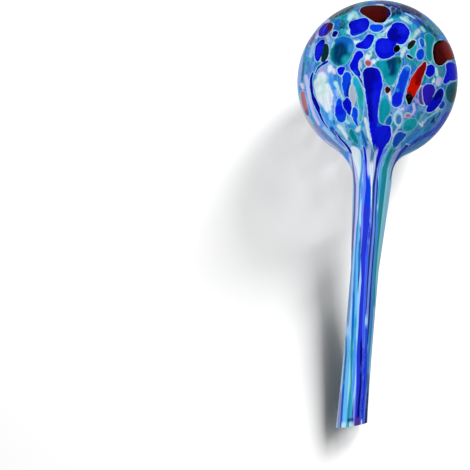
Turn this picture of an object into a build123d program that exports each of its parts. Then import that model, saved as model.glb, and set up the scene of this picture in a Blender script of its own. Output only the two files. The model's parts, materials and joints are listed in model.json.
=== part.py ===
from build123d import *
from math import cos, radians, sin, sqrt, tan
import os

os.makedirs("parts", exist_ok=True)

# A blown glass watering globe, in millimetres, with its globe up and its stem down.
# The origin is the centre of the stem's open end, on the axis, and the end is cut at a slant.
# A clear wall holds the water, and coloured chips and drawn streaks are fused over it.

# Sizes of the blown vessel
globe_radius = 40.0
centre_height = 174.0
stem_radius = 6.7
straight_stem_length = 78.0
neck_radius = 9.5
neck_blend_radius = 21.0
wall_thickness = 1.6
tip_slant = 15.0

# Sizes of the fused colour: how deep it is, and how many sides each lump of a flake has
colour_depth = 0.4
flake_sides = 7

# One overrun for every cut
overrun = 2.0

# How the chips' places were read: from in front and a little below, with the globe leaning
view_tilt = 12.0
view_lean = 4.4

# Chips on the front. Each is a hull round one to three lumps of crushed glass, and a lump is
# its place across and up and its radius, in shares of the globe's radius
front_chip_shares = {
    "cobalt_glass": [
        [(-0.26, 0.71, 0.085), (-0.19, 0.71, 0.08)],
        [(-0.10, 0.53, 0.055), (-0.20, 0.44, 0.055)],
        [(0.085, 0.40, 0.11)],
        [(0.24, 0.68, 0.07), (0.28, 0.54, 0.10)],
        [(-0.49, -0.26, 0.035), (-0.47, -0.40, 0.065)],
        [(0.67, 0.16, 0.055), (0.66, 0.055, 0.05)],
        [(0.785, -0.145, 0.05), (0.68, -0.30, 0.07)],
        [(-0.695, 0.435, 0.06), (-0.71, 0.295, 0.085)],
        [(-0.085, 0.095, 0.08), (-0.05, -0.16, 0.10), (-0.025, -0.50, 0.055)],
    ],
    "royal_glass": [
        [(-0.385, 0.055, 0.045), (-0.385, -0.045, 0.04)],
        [(0.35, 0.145, 0.045), (0.235, -0.26, 0.065)],
        [(0.53, 0.365, 0.04), (0.53, 0.295, 0.045)],
    ],
    "teal_glass": [
        [(-0.44, 0.46, 0.105), (-0.46, 0.32, 0.12)],
        [(0.13, 0.20, 0.09), (0.155, 0.05, 0.09)],
        [(0.42, -0.515, 0.06), (0.38, -0.61, 0.058)],
        [(0.635, 0.575, 0.035), (0.66, 0.285, 0.033)],
    ],
    "aqua_glass": [
        [(-0.285, 0.045, 0.03), (-0.21, -0.245, 0.043)],
        [(0.11, -0.34, 0.045), (0.08, -0.48, 0.035)],
    ],
    "maroon_glass": [
        [(-0.13, 0.845, 0.08), (0.08, 0.85, 0.085)],
        [(0.78, 0.43, 0.067), (0.825, 0.27, 0.08)],
    ],
    "scarlet_glass": [
        [(0.595, 0.22, 0.015), (0.49, 0.005, 0.062), (0.425, -0.18, 0.038)],
    ],
    "black_glass": [
        [(0.26, 0.39, 0.033)],
        [(0.41, 0.42, 0.028), (0.455, 0.48, 0.028)],
        [(0.40, -0.27, 0.035)],
    ],
    "pink_glass": [
        [(-0.12, 0.22, 0.036)],
        [(-0.945, -0.16, 0.05), (-0.875, -0.385, 0.05)],
    ],
    "opal_glass": [
        [(-0.64, 0.005, 0.09), (-0.60, -0.345, 0.07)],
    ],
    "violet_glass": [
        [(-0.685, 0.59, 0.05), (-0.60, 0.68, 0.05)],
        [(0.545, -0.095, 0.033), (0.527, -0.24, 0.033)],
    ],
}

# Chips on the back, read the same way from behind
back_chip_shares = {
    "cobalt_glass": [
        [(0.30, 0.55, 0.09), (0.18, 0.42, 0.08)],
        [(-0.45, -0.10, 0.08), (-0.40, -0.32, 0.06)],
    ],
    "royal_glass": [
        [(-0.20, 0.25, 0.07), (-0.12, 0.05, 0.05)],
    ],
    "teal_glass": [
        [(-0.50, 0.45, 0.11)],
        [(0.42, -0.25, 0.09), (0.34, -0.42, 0.06)],
    ],
    "aqua_glass": [
        [(0.05, -0.25, 0.06), (0.02, -0.45, 0.05)],
    ],
    "maroon_glass": [
        [(-0.12, 0.72, 0.09)],
    ],
    "opal_glass": [
        [(0.60, 0.12, 0.08), (0.52, 0.0, 0.07)],
    ],
}

# Streaks round the neck and stem, from the front going towards +X: colour, share of a turn,
# and how far below the globe's centre the head lies, as a share of the globe's radius
first_streak_angle = -90.0
streak_shares = [
    ("cobalt_glass", 0.040, 0.78),
    ("sky_glass", 0.045, 1.40),
    ("teal_glass", 0.080, 1.36),
    ("royal_glass", 0.050, 0.80),
    ("opal_glass", 0.085, 1.44),
    ("pink_glass", 0.060, 1.60),
    ("cobalt_glass", 0.110, 1.34),
    ("teal_glass", 0.050, 0.76),
    ("aqua_glass", 0.100, 1.42),
    ("maroon_glass", 0.070, 1.52),
    ("violet_glass", 0.060, 1.38),
    ("sky_glass", 0.050, 0.78),
    ("opal_glass", 0.075, 1.36),
    ("aqua_glass", 0.060, 1.50),
    ("royal_glass", 0.085, 1.40),
]


def cone_radius(height):
    """The outer radius of the tapering neck at this height. It meets the globe at the neck's radius."""
    meeting_height = centre_height - sqrt(globe_radius**2 - neck_radius**2)
    risen_share = (height - straight_stem_length) / (meeting_height - straight_stem_length)
    return stem_radius + (neck_radius - stem_radius) * risen_share


def half_section(inset):
    """Half of the vessel's section, drawn this far inside its outer surface."""
    stem_end = -(stem_radius * tan(radians(tip_slant)) + overrun)
    globe = Pos(0, centre_height) * Circle(globe_radius - inset)
    right_side = Pos(0, centre_height) * Rectangle(
        globe_radius, 2 * globe_radius, align=(Align.MIN, Align.CENTER)
    )
    neck = Polygon(
        (0, straight_stem_length),
        (stem_radius - inset, straight_stem_length),
        (cone_radius(centre_height) - inset, centre_height),
        (0, centre_height),
        align=None,
    )
    stem = Pos(0, stem_end) * Rectangle(
        stem_radius - inset, straight_stem_length - stem_end, align=(Align.MIN, Align.MIN)
    )
    section = (globe & right_side) + neck + stem
    meeting = (neck_radius, centre_height - globe_radius)
    corner = section.vertices().sort_by_distance(meeting)[0]
    return fillet(corner, neck_blend_radius + inset)


def surface_radius(drop):
    """The vessel's outer radius at this drop below the globe's centre, without the blend."""
    on_globe = sqrt(max(globe_radius**2 - drop**2, 0))
    return max(on_globe, cone_radius(centre_height - drop), stem_radius)


def past_the_tip():
    """Everything beyond the slanted end of the stem."""
    reach = globe_radius
    block = Box(reach, reach, reach, align=(Align.CENTER, Align.CENTER, Align.MAX))
    return Rot(0, -tip_slant, 0) * block


def clear_wall():
    """The hollow wall of clear glass: globe, neck and stem in one piece."""
    outside = revolve(Plane.XZ * half_section(colour_depth), Axis.Z)
    inside = revolve(Plane.XZ * half_section(colour_depth + wall_thickness), Axis.Z)
    return outside - inside - past_the_tip()


def place_on_globe(across, up, facing):
    """The point of the globe's surface that is seen at this place in the view."""
    lean = radians(view_lean)
    tilt = radians(view_tilt)
    level_across = across * cos(lean) - up * sin(lean)
    level_up = across * sin(lean) + up * cos(lean)
    near = sqrt(1 - level_across**2 - level_up**2)
    out = near * cos(tilt) + level_up * sin(tilt)
    rise = level_up * cos(tilt) - near * sin(tilt)
    direction = Vector(level_across, -out, rise).rotate(Axis.Z, facing)
    return Vector(0, 0, centre_height) + direction * globe_radius


def chip(lumps, facing):
    """One flake of crushed glass, as deep as the colour layer and curved like the globe."""
    places = [place_on_globe(across, up, facing) for across, up, radius in lumps]
    middle = sum(places, Vector(0, 0, 0)) / len(places)
    seat = Plane(origin=middle, z_dir=middle - Vector(0, 0, centre_height))
    flats = []
    for place, (across, up, radius) in zip(places, lumps):
        local = seat.to_local_coords(place)
        flats.append(Pos(local.X, local.Y) * RegularPolygon(radius * globe_radius, flake_sides))
    outline = flats[0]
    if len(flats) > 1:
        outline = make_hull([edge for flat in flats for edge in flat.edges()])
    flake = extrude(seat * outline, globe_radius / 2, both=True)
    ball = Pos(0, 0, centre_height) * Sphere(globe_radius)
    core = Pos(0, 0, centre_height) * Sphere(globe_radius - colour_depth)
    return flake & ball - core


def streak(start, arc, head_drop):
    """One streak of colour, from its rounded head down to the stem's slanted end."""
    head_height = centre_height - head_drop
    head_width = 2 * surface_radius(head_drop) * sin(radians(arc / 2))
    layer = half_section(0) - half_section(colour_depth)
    below = Pos(0, head_height) * Rectangle(
        globe_radius, centre_height + globe_radius, align=(Align.MIN, Align.MAX)
    )
    strip = revolve(Plane.XZ * (layer & below), Axis.Z, arc)
    slot_length = head_height + globe_radius
    slot = Pos(0, head_height - slot_length / 2) * Rot(0, 0, 90) * SlotOverall(slot_length, head_width)
    mask = Rot(0, 0, arc / 2) * extrude(Plane.YZ * slot, globe_radius)
    return Rot(0, 0, start) * (strip & mask) - past_the_tip()


def main():
    nodes = {"clear_wall": [clear_wall()]}
    for table, facing in ((front_chip_shares, 0), (back_chip_shares, 180)):
        for name, chips in table.items():
            for lumps in chips:
                nodes.setdefault(name, []).append(chip(lumps, facing))
    all_widths = sum(width for name, width, head in streak_shares)
    angle = first_streak_angle
    for name, width, head in streak_shares:
        arc = 360 * width / all_widths
        nodes.setdefault(name, []).append(streak(angle, arc, head * globe_radius))
        angle += arc
    for name, solids in nodes.items():
        shape = solids[0]
        if len(solids) > 1:
            shape = Compound(children=solids)
        export_step(shape, "parts/" + name + ".step")
        print(name, len(solids), "solids")


main()
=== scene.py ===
import json
from math import cos, pi, radians, sin, sqrt

import bpy
import numpy as np
from mathutils import Matrix, Vector


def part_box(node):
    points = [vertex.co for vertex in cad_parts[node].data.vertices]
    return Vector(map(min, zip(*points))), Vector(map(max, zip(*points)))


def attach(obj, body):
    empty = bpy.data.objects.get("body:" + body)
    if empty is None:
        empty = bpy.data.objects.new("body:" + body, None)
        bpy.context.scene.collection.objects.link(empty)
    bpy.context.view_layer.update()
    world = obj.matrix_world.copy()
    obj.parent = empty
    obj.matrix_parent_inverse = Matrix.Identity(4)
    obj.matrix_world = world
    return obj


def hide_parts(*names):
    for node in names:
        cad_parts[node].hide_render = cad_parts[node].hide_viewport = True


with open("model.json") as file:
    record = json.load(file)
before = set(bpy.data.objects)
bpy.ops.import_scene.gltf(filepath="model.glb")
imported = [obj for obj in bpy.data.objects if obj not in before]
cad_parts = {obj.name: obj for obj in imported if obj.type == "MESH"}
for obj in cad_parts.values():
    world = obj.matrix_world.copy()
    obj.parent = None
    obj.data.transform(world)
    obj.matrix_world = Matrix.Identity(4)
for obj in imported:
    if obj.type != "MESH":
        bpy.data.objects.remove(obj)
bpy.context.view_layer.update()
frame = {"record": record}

# A blown glass watering globe: a pale, cloudy glass body with crushed glass chips and drawn
# streaks melted into it. Lengths are in metres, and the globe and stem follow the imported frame.

mm = 0.001
tiny = 1e-12

# What hands leave in blown glass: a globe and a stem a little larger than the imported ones, a
# globe a little off its stem, and a tip that flares a little
globe_swell = 0.5 * mm
globe_lift = 0.2 * mm
globe_shift = -2 * mm
shift_start = 122 * mm
stem_swell = 0.3 * mm
tip_flare = 0.6 * mm
tip_flare_length = 45 * mm

# The vessel, read from the frame where the frame says it
mounts = {mount["name"]: mount for mount in frame["record"]["mounts"]}
wall_low, wall_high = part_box("clear_wall")
colour_depth = 0.4 * mm
cad_radius = (wall_high.y - wall_low.y) / 2 + colour_depth
globe_radius = cad_radius + globe_swell
globe_height = wall_high.z + colour_depth - cad_radius + globe_lift
pin_radius = mounts["stem"]["dims"]["r_mm"] * mm
stem_radius = pin_radius + stem_swell
bore_radius = mounts["mouth"]["dims"]["r_mm"] * mm
tip_slope = -wall_low.z / (pin_radius - colour_depth)
tip_fade = 12 * mm
straight_length = 78 * mm
neck_radius = 10.5 * mm
blend_radius = 16 * mm

# The camera of the photograph: in front, a little below the globe, leaning a little
view_tilt = radians(12)
view_distance = 560 * mm
view_yaw = 0.12939
view_pitch = -0.14165
view_roll = -0.06638
view_lens = 82.6
sensor_width = 36.0
photo_size = 470

# Spacing of the meshes
globe_step = 0.5 * mm
neck_step = 0.9 * mm
stem_step = 1.6 * mm
turn_steps = 504
front_bunching = 0.4

# Colours as the eye sees them, in red, green and blue
colours = {
    "cobalt": (8, 16, 208),
    "dark_cobalt": (6, 6, 150),
    "ultramarine": (16, 28, 226),
    "bright_blue": (56, 84, 255),
    "navy": (4, 8, 116),
    "ink": (8, 24, 96),
    "night": (0, 46, 98),
    "royal": (8, 66, 228),
    "denim": (20, 74, 186),
    "azure": (16, 104, 196),
    "cerulean": (48, 140, 212),
    "periwinkle": (112, 138, 250),
    "wisteria": (160, 184, 246),
    "lavender": (208, 208, 250),
    "lilac": (148, 148, 200),
    "dusk": (108, 102, 160),
    "slate": (88, 84, 140),
    "steel_lilac": (122, 146, 200),
    "mauve": (178, 150, 222),
    "violet": (44, 26, 176),
    "plum": (92, 56, 146),
    "sky": (60, 148, 246),
    "sky_light": (96, 192, 250),
    "pale_sky": (160, 212, 252),
    "cyan": (28, 172, 214),
    "aqua": (44, 188, 194),
    "pale_aqua": (146, 222, 230),
    "ice": (190, 236, 246),
    "teal": (2, 140, 158),
    "lagoon": (12, 146, 164),
    "deep_teal": (0, 92, 120),
    "sea_green": (26, 166, 178),
    "pine": (16, 76, 84),
    "patina": (72, 144, 158),
    "lichen": (160, 222, 212),
    "pale_green": (206, 238, 224),
    "snow": (236, 246, 250),
    "milk": (244, 250, 255),
    "mist": (192, 196, 214),
    "blush": (240, 226, 234),
    "steel": (68, 132, 200),
    "dark_steel": (60, 96, 150),
    "ash": (98, 106, 114),
    "umber": (66, 52, 72),
    "maroon": (72, 6, 8),
    "oxblood": (78, 8, 8),
    "brick": (124, 18, 22),
    "scarlet": (200, 16, 0),
    "crimson": (134, 2, 10),
    "rust": (184, 76, 76),
    "rose": (188, 116, 122),
    "black": (2, 4, 10),
    "bottle": (10, 46, 50),
    "olive": (28, 28, 8),
}

# The enlarged views of the photograph that places were read off: the photograph's pixel at the
# upper left corner, and how many units of the view make a pixel
enlarged = {
    "globe": (295, 0, 9.224),
    "upper left": (296, 0, 1.8667),
    "upper right": (376, 0, 1.8667),
    "lower left": (296, 80, 1.8667),
    "lower right": (376, 80, 1.8667),
}

# Chips of crushed glass on the side that the photograph shows: a glass, a shade and the chips'
# outlines in the enlarged view of the globe, as places across and down in turn. A later chip lies
# over an earlier one
front_chips = [
    ("cobalt", "navy", [398, 890, 405, 893, 425, 925, 432, 944, 418, 938, 402, 908]),
    ("teal", "azure", [345, 1105, 362, 1098, 375, 1120, 378, 1150, 368, 1158, 350, 1140]),
    ("teal", "deep_teal", [1400, 800, 1420, 775, 1450, 760, 1492, 745, 1502, 800, 1496, 870, 1470, 930,
      1440, 960, 1415, 945, 1392, 900, 1385, 850]),
    ("teal", "teal",
     [335, 430, 350, 380, 385, 345, 440, 330, 500, 340, 540, 370, 550, 420, 535, 480, 510, 540,
      470, 590, 420, 615, 370, 605, 335, 570, 318, 510, 325, 460],
     [735, 580, 760, 560, 800, 555, 850, 545, 900, 530, 945, 510, 975, 520, 990, 560, 980, 610,
      960, 660, 945, 700, 930, 730, 920, 765, 895, 790, 865, 795, 840, 770, 815, 730, 795, 690,
      770, 650, 745, 620]),
    ("teal", "lagoon",
     [1195, 320, 1230, 300, 1260, 320, 1290, 350, 1280, 390, 1265, 430, 1262, 480, 1270, 540, 1255, 570,
      1225, 560, 1205, 520, 1200, 470, 1210, 420, 1200, 370],
     [815, 880, 830, 870, 850, 900, 870, 940, 885, 985, 880, 1030, 860, 1070, 840, 1110, 820, 1150,
      790, 1145, 770, 1110, 765, 1060, 770, 1000, 785, 940, 800, 900]),
    ("teal", "sea_green", [1005, 1130, 1030, 1100, 1070, 1085, 1110, 1090, 1130, 1120, 1120, 1160,
      1100, 1190, 1060, 1210, 1020, 1215, 990, 1190, 995, 1160]),
    ("teal", "teal", [495, 1200, 520, 1180, 545, 1210, 570, 1260, 590, 1310, 580, 1340, 550, 1320,
      520, 1280, 495, 1240]),
    ("teal", "azure", [605, 1200, 620, 1190, 640, 1230, 665, 1300, 680, 1370, 690, 1430, 670, 1440,
      650, 1370, 625, 1300, 605, 1240]),
    ("teal", "sea_green", [1060, 440, 1095, 425, 1120, 400, 1135, 430, 1120, 470, 1125, 510, 1100, 535,
      1070, 515, 1050, 490]),
    ("aqua", "aqua", [535, 700, 560, 705, 585, 730, 610, 780, 635, 850, 640, 920, 635, 1000, 630, 1060,
      615, 1110, 600, 1150, 585, 1100, 590, 1020, 580, 950, 560, 880, 540, 820, 530, 760]),
    ("opal", "mist", [505, 850, 515, 800, 530, 790, 548, 830, 560, 890, 555, 940, 540, 980, 520, 970,
      508, 920]),
    ("opal", "milk", [520, 1370, 540, 1350, 575, 1360, 600, 1400, 605, 1460, 608, 1540, 570, 1540,
      548, 1460, 530, 1420]),
    ("royal", "royal",
     [685, 235, 700, 225, 740, 228, 780, 225, 810, 232, 818, 250, 800, 275, 770, 295, 740, 297,
      715, 285, 690, 265],
     [1150, 365, 1165, 350, 1185, 365, 1195, 400, 1190, 430, 1175, 440, 1160, 420, 1150, 395],
     [1118, 500, 1125, 470, 1145, 452, 1170, 450, 1188, 470, 1193, 500, 1185, 535, 1165, 555, 1140, 550,
      1122, 530],
     [1005, 625, 1030, 608, 1055, 615, 1065, 640, 1050, 690, 1040, 740, 1030, 780, 1015, 820, 1000, 860,
      995, 900, 985, 950, 960, 985, 925, 990, 900, 975, 890, 940, 900, 890, 920, 850, 940, 800,
      955, 750, 965, 700, 985, 655],
     [440, 700, 455, 670, 480, 660, 505, 675, 520, 710, 515, 760, 500, 800, 490, 850, 495, 900,
      480, 930, 460, 890, 445, 840, 435, 790, 440, 740],
     [375, 985, 385, 940, 400, 905, 420, 910, 445, 960, 465, 1010, 475, 1060, 465, 1105, 440, 1130,
      405, 1120, 380, 1085, 368, 1040],
     [535, 1000, 550, 985, 575, 1010, 580, 1060, 570, 1110, 582, 1160, 570, 1170, 550, 1120, 530, 1080,
      522, 1040]),
    ("royal", "azure", [860, 1080, 885, 1060, 895, 1100, 885, 1150, 860, 1160, 835, 1155, 835, 1120]),
    ("royal", "denim",
     [930, 1240, 960, 1215, 1000, 1225, 1030, 1240, 1010, 1270, 970, 1310, 940, 1350, 910, 1370,
      900, 1340, 905, 1290],
     [1330, 960, 1350, 930, 1380, 935, 1385, 970, 1360, 1005, 1330, 1000]),
    ("sky", "steel", [930, 1085, 940, 1060, 962, 1052, 980, 1070, 985, 1105, 975, 1140, 955, 1152,
      935, 1135, 927, 1110]),
    ("violet", "violet", [215, 300, 225, 265, 250, 235, 285, 212, 325, 205, 350, 215, 355, 240,
      340, 275, 310, 310, 270, 335, 235, 342, 218, 330]),
    ("violet", "plum", [1135, 860, 1150, 820, 1175, 795, 1200, 800, 1195, 850, 1185, 900, 1195, 940,
      1190, 970, 1160, 965, 1140, 930]),
    ("cobalt", "navy", [340, 326, 350, 306, 355, 284, 378, 287, 400, 298, 390, 318, 370, 341,
      350, 341]),
    ("cobalt", "cobalt",
     [495, 235, 505, 205, 530, 190, 560, 185, 600, 170, 640, 165, 670, 175, 685, 200, 690, 225,
      675, 255, 650, 285, 620, 305, 580, 320, 545, 335, 525, 330, 510, 300, 515, 270, 500, 255],
     [185, 470, 195, 420, 220, 385, 255, 362, 275, 370, 272, 400, 262, 440, 250, 490, 238, 530,
      215, 570, 195, 560, 180, 520],
     [560, 420, 580, 400, 620, 385, 645, 350, 665, 320, 695, 318, 730, 330, 728, 360, 710, 395,
      695, 430, 670, 452, 640, 450, 600, 440, 570, 440],
     [545, 520, 560, 490, 585, 470, 610, 472, 630, 500, 625, 530, 600, 545, 582, 570, 580, 610,
      590, 650, 605, 690, 590, 705, 560, 690, 530, 660, 510, 630, 505, 600, 520, 570, 535, 545],
     [850, 310, 870, 270, 885, 250, 895, 225, 925, 205, 965, 205, 1000, 220, 1030, 245, 1055, 280,
      1055, 320, 1040, 355, 1015, 390, 990, 410, 960, 410, 930, 395, 895, 395, 865, 375, 850, 335],
     [740, 440, 745, 400, 760, 370, 790, 352, 830, 350, 870, 360, 905, 370, 930, 395, 940, 420,
      945, 450, 945, 470, 925, 495, 895, 515, 870, 530, 830, 548, 795, 540, 765, 515, 745, 480],
     [385, 650, 400, 625, 440, 615, 465, 625, 455, 650, 435, 690, 415, 690, 395, 670],
     [440, 960, 450, 930, 475, 900, 500, 915, 520, 960, 520, 1010, 510, 1060, 490, 1050, 470, 1010,
      450, 985],
     [1205, 640, 1220, 610, 1245, 595, 1275, 600, 1290, 625, 1285, 665, 1270, 700, 1240, 712, 1215, 700,
      1203, 670],
     [1395, 590, 1420, 575, 1465, 575, 1500, 620, 1506, 680, 1498, 730, 1460, 745, 1430, 740, 1410, 760,
      1385, 775, 1365, 760, 1375, 720, 1395, 680, 1400, 640, 1390, 615]),
    ("cobalt", "violet", [1180, 810, 1210, 780, 1250, 775, 1285, 790, 1290, 830, 1275, 880, 1255, 930,
      1235, 965, 1205, 975, 1190, 940, 1180, 880]),
    ("cobalt", "cobalt",
     [1310, 840, 1335, 815, 1360, 820, 1375, 850, 1365, 900, 1340, 950, 1300, 1000, 1260, 1030,
      1220, 1040, 1210, 1010, 1230, 970, 1260, 920, 1285, 880],
     [640, 640, 660, 625, 710, 620, 750, 630, 780, 655, 795, 700, 805, 760, 800, 820, 785, 880,
      775, 940, 765, 1000, 760, 1060, 765, 1120, 790, 1150, 830, 1160, 870, 1160, 885, 1190, 885, 1240,
      875, 1290, 845, 1330, 815, 1370, 795, 1420, 785, 1470, 775, 1540, 750, 1540, 755, 1450, 740, 1400,
      720, 1370, 715, 1300, 700, 1240, 690, 1180, 680, 1100, 675, 1020, 665, 950, 655, 880, 645, 820,
      635, 760, 628, 700, 630, 660]),
    ("maroon", "maroon",
     [1272, 460, 1280, 420, 1300, 390, 1330, 372, 1365, 370, 1400, 380, 1438, 425, 1464, 480, 1474, 535,
      1450, 552, 1405, 552, 1385, 575, 1360, 600, 1330, 605, 1300, 590, 1285, 560, 1275, 510],
     [598, 95, 615, 70, 660, 55, 740, 48, 820, 55, 865, 80, 885, 110, 878, 140, 850, 165, 830, 195,
      800, 213, 755, 208, 710, 190, 675, 160, 630, 135, 600, 115]),
    ("maroon", "oxblood", [830, 820, 845, 800, 865, 805, 885, 820, 870, 840, 850, 860, 835, 845]),
    ("pink", "rose",
     [50, 845, 70, 835, 90, 850, 100, 900, 112, 960, 128, 1020, 135, 1060, 118, 1075, 95, 1050,
      75, 1000, 58, 930],
     [640, 580, 650, 560, 670, 552, 695, 560, 710, 580, 700, 605, 680, 615, 655, 605],
     [1015, 1060, 1035, 1045, 1065, 1055, 1070, 1075, 1045, 1085, 1020, 1078]),
    ("scarlet", "scarlet", [1204, 570, 1212, 582, 1208, 620, 1195, 665, 1180, 710, 1160, 765, 1140, 815,
      1115, 860, 1092, 915, 1055, 905, 1028, 885, 1040, 815, 1058, 765, 1080, 715, 1105, 675, 1135, 635,
      1165, 598, 1190, 574]),
    ("black", "bottle", [275, 400, 300, 410, 312, 450, 308, 500, 295, 540, 270, 570, 240, 572, 245, 520,
      258, 460, 268, 420]),
    ("black", "black", [915, 440, 930, 420, 950, 410, 965, 425, 968, 450, 955, 475, 935, 488, 918, 480,
      912, 460]),
    ("black", "bottle", [1040, 425, 1050, 400, 1070, 378, 1095, 370, 1113, 378, 1110, 398, 1095, 420,
      1070, 445, 1050, 455, 1042, 442]),
    ("black", "black",
     [1030, 505, 1045, 508, 1065, 520, 1085, 535, 1080, 543, 1060, 535, 1040, 522],
     [1022, 880, 1035, 860, 1060, 868, 1090, 890, 1080, 925, 1065, 960, 1050, 968, 1035, 940,
      1025, 910]),
]

# Thin or far-reaching chips on that side: a glass, a shade, and one or more strokes in pixels. A
# stroke is a chain of rounds, each with its place across, its place down and its radius
front_ribbons = [
    ("cobalt", "dark_cobalt",
     [(327.5, 61.5, 0.9), (322.5, 64.2, 1.2), (318, 68, 0.9), (315.5, 73, 0.6)],
     [(312.8, 73, 0.9), (311, 79, 1.6), (311.3, 86.4, 2), (312, 92.8, 1.6), (313.1, 97.1, 2.2)],
     [(313.1, 97.1, 2.2), (315.3, 102.5, 2.8), (317.4, 106.8, 2.8), (319, 112.1, 1.6)],
     [(319, 112.1, 1.6), (321.7, 118.6, 1.2), (323.9, 122.9, 0.9), (328.1, 128.2, 0.6)],
     [(335.6, 131.4, 0.7), (340.5, 138.9, 1), (345.3, 143.8, 1.2), (349, 148.6, 1.4),
      (352.3, 155, 0.9)]),
    ("cobalt", "navy", [(358.5, 76, 0.8), (361.5, 82, 0.7), (363.5, 88, 0.5)]),
]

# Soft colours within the chips, by enlarged view: the glass they show in, a shade, how far the
# colour fades out, and strokes. A stroke is a chain of rounds: across, down and radius
chip_paint = {}
chip_paint["upper left"] = [
    ("teal", "azure", 9, [(88, 70, 11), (96, 76, 6)]),
    ("teal", "cerulean", 9, [(105, 90, 2)]),
    ("teal", "night", 11, [(83, 92, 5), (83, 106, 6)]),
    ("teal", "sea_green", 10, [(94, 112, 1)]),
    ("teal", "pale_aqua", 4, [(67.5, 80, 1.6), (65.5, 86, 0.8)]),
    ("violet", "maroon", 5, [(66, 43, 4), (65, 56, 4), (60, 64, 1.6)]),
    ("violet", "cobalt", 5, [(52, 56, 3)]),
    ("cobalt", "ultramarine", 4, [(44, 88, 1.6), (40, 104, 2)]),
    ("cobalt", "navy", 4, [(52, 76, 2)], [(50, 110, 1.6)]),
    ("cobalt", "azure", 6, [(112, 70.5, 1.2), (124, 67.5, 1.2)]),
    ("cobalt", "navy", 3, [(135, 64, 1.6)], [(115, 88.5, 1.6)], [(100, 47, 1.2)]),
    ("cobalt", "ultramarine", 6, [(133, 80, 3)], [(123, 48, 4)]),
    ("cobalt", "royal", 5, [(111, 137, 2)]),
    ("cobalt", "dark_cobalt", 14, [(135, 140, 8)]),
    # A slightly lighter patch on the maroon cap near the crown: a faint painted highlight
    ("maroon", "oxblood", 7, [(133, 23, 3), (150, 27, 5)]),
    ("maroon", "black", 2, [(119.5, 24, 1.2), (126, 31, 1.2), (135, 37, 1.2), (148, 42, 1)]),
    ("pink", "rust", 3, [(134, 118, 3)]),
    ("opal", "lichen", 4, [(105, 30, 2)]),
]
chip_paint["upper right"] = [
    ("maroon", "navy", 3, [(27, 20, 1.6), (23.5, 30, 1.2)]),
    ("maroon", "black", 2.6, [(19, 37, 1.6), (9, 43, 1)]),
    ("maroon", "black", 2.2, [(120, 76.5, 1.6), (110, 83, 1.6), (107.5, 95, 1.4), (108.5, 110, 1.4)]),
    ("maroon", "black", 2.2, [(108.5, 110, 1.4), (112, 120, 1.4), (120, 122, 0.8)]),
    ("maroon", "brick", 8, [(134, 86, 5), (142, 104, 5)]),
    ("scarlet", "black", 3, [(94, 114, 2.4)]),
    ("scarlet", "crimson", 12, [(92, 118, 1), (85, 134, 1), (81, 146, 0.4)]),
    ("teal", "night", 11, [(29, 114, 2), (29, 133, 1)]),
    ("teal", "pine", 7, [(42, 113, 1)]),
    ("teal", "lagoon", 6, [(12, 120, 3), (18, 133, 3)]),
    ("teal", "sea_green", 11, [(24, 154, 2)]),
    ("cobalt", "dark_cobalt", 9, [(35, 65, 6)]),
    ("cobalt", "ultramarine", 9, [(16, 87, 6)], [(50, 56, 3)]),
    ("royal", "cerulean", 6, [(60, 125, 2)]),
    ("royal", "azure", 4, [(87, 76, 3)]),
    ("black", "olive", 4, [(67, 83, 2)]),
]
chip_paint["lower left"] = [
    ("cobalt", "azure", 4, [(156, 50, 1.4), (155.5, 70, 1.8), (156, 84, 1.2)]),
    ("cobalt", "dark_cobalt", 6, [(134, 6, 3), (140, 30, 2), (142, 70, 3)]),
    ("royal", "ultramarine", 6, [(82, 56, 5)]),
    ("royal", "navy", 2.4, [(102, 6, 1), (97.5, 19, 1), (96.5, 29, 0.8)]),
    ("aqua", "sea_green", 6, [(118, 20, 2), (124, 33, 1.4)]),
    ("aqua", "cyan", 6, [(121, 56, 3)], [(112, 6, 3)]),
    ("pink", "dusk", 6, [(23, 62, 3)]),
]
chip_paint["lower right"] = [
    ("cobalt", "ultramarine", 9, [(12, 96, 5), (15, 114, 5)]),
    ("cobalt", "ultramarine", 9, [(2, 30, 4), (6, 70, 4)]),
    ("royal", "ultramarine", 7, [(40, 34, 7)]),
    ("royal", "cerulean", 3, [(40, 19, 1.2)]),
    ("scarlet", "crimson", 4, [(77, 6, 1)]),
    ("scarlet", "black", 3, [(62, 27, 2.4)]),
    ("black", "olive", 3, [(62, 31, 1)]),
    ("teal", "lagoon", 6, [(13, 43, 4), (15, 56, 5)]),
    ("teal", "cyan", 4, [(12, 33, 2)]),
    ("teal", "sea_green", 4, [(64, 76, 5), (56, 86, 2)]),
    ("teal", "lagoon", 5, [(60, 93, 4)]),
    ("teal", "pine", 5, [(144, 22, 3), (144, 38, 2)]),
    ("cobalt", "navy", 4, [(118, 25, 3), (112, 33, 2)]),
    ("royal", "navy", 4, [(118, 25, 3), (112, 33, 2)]),
]
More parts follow.
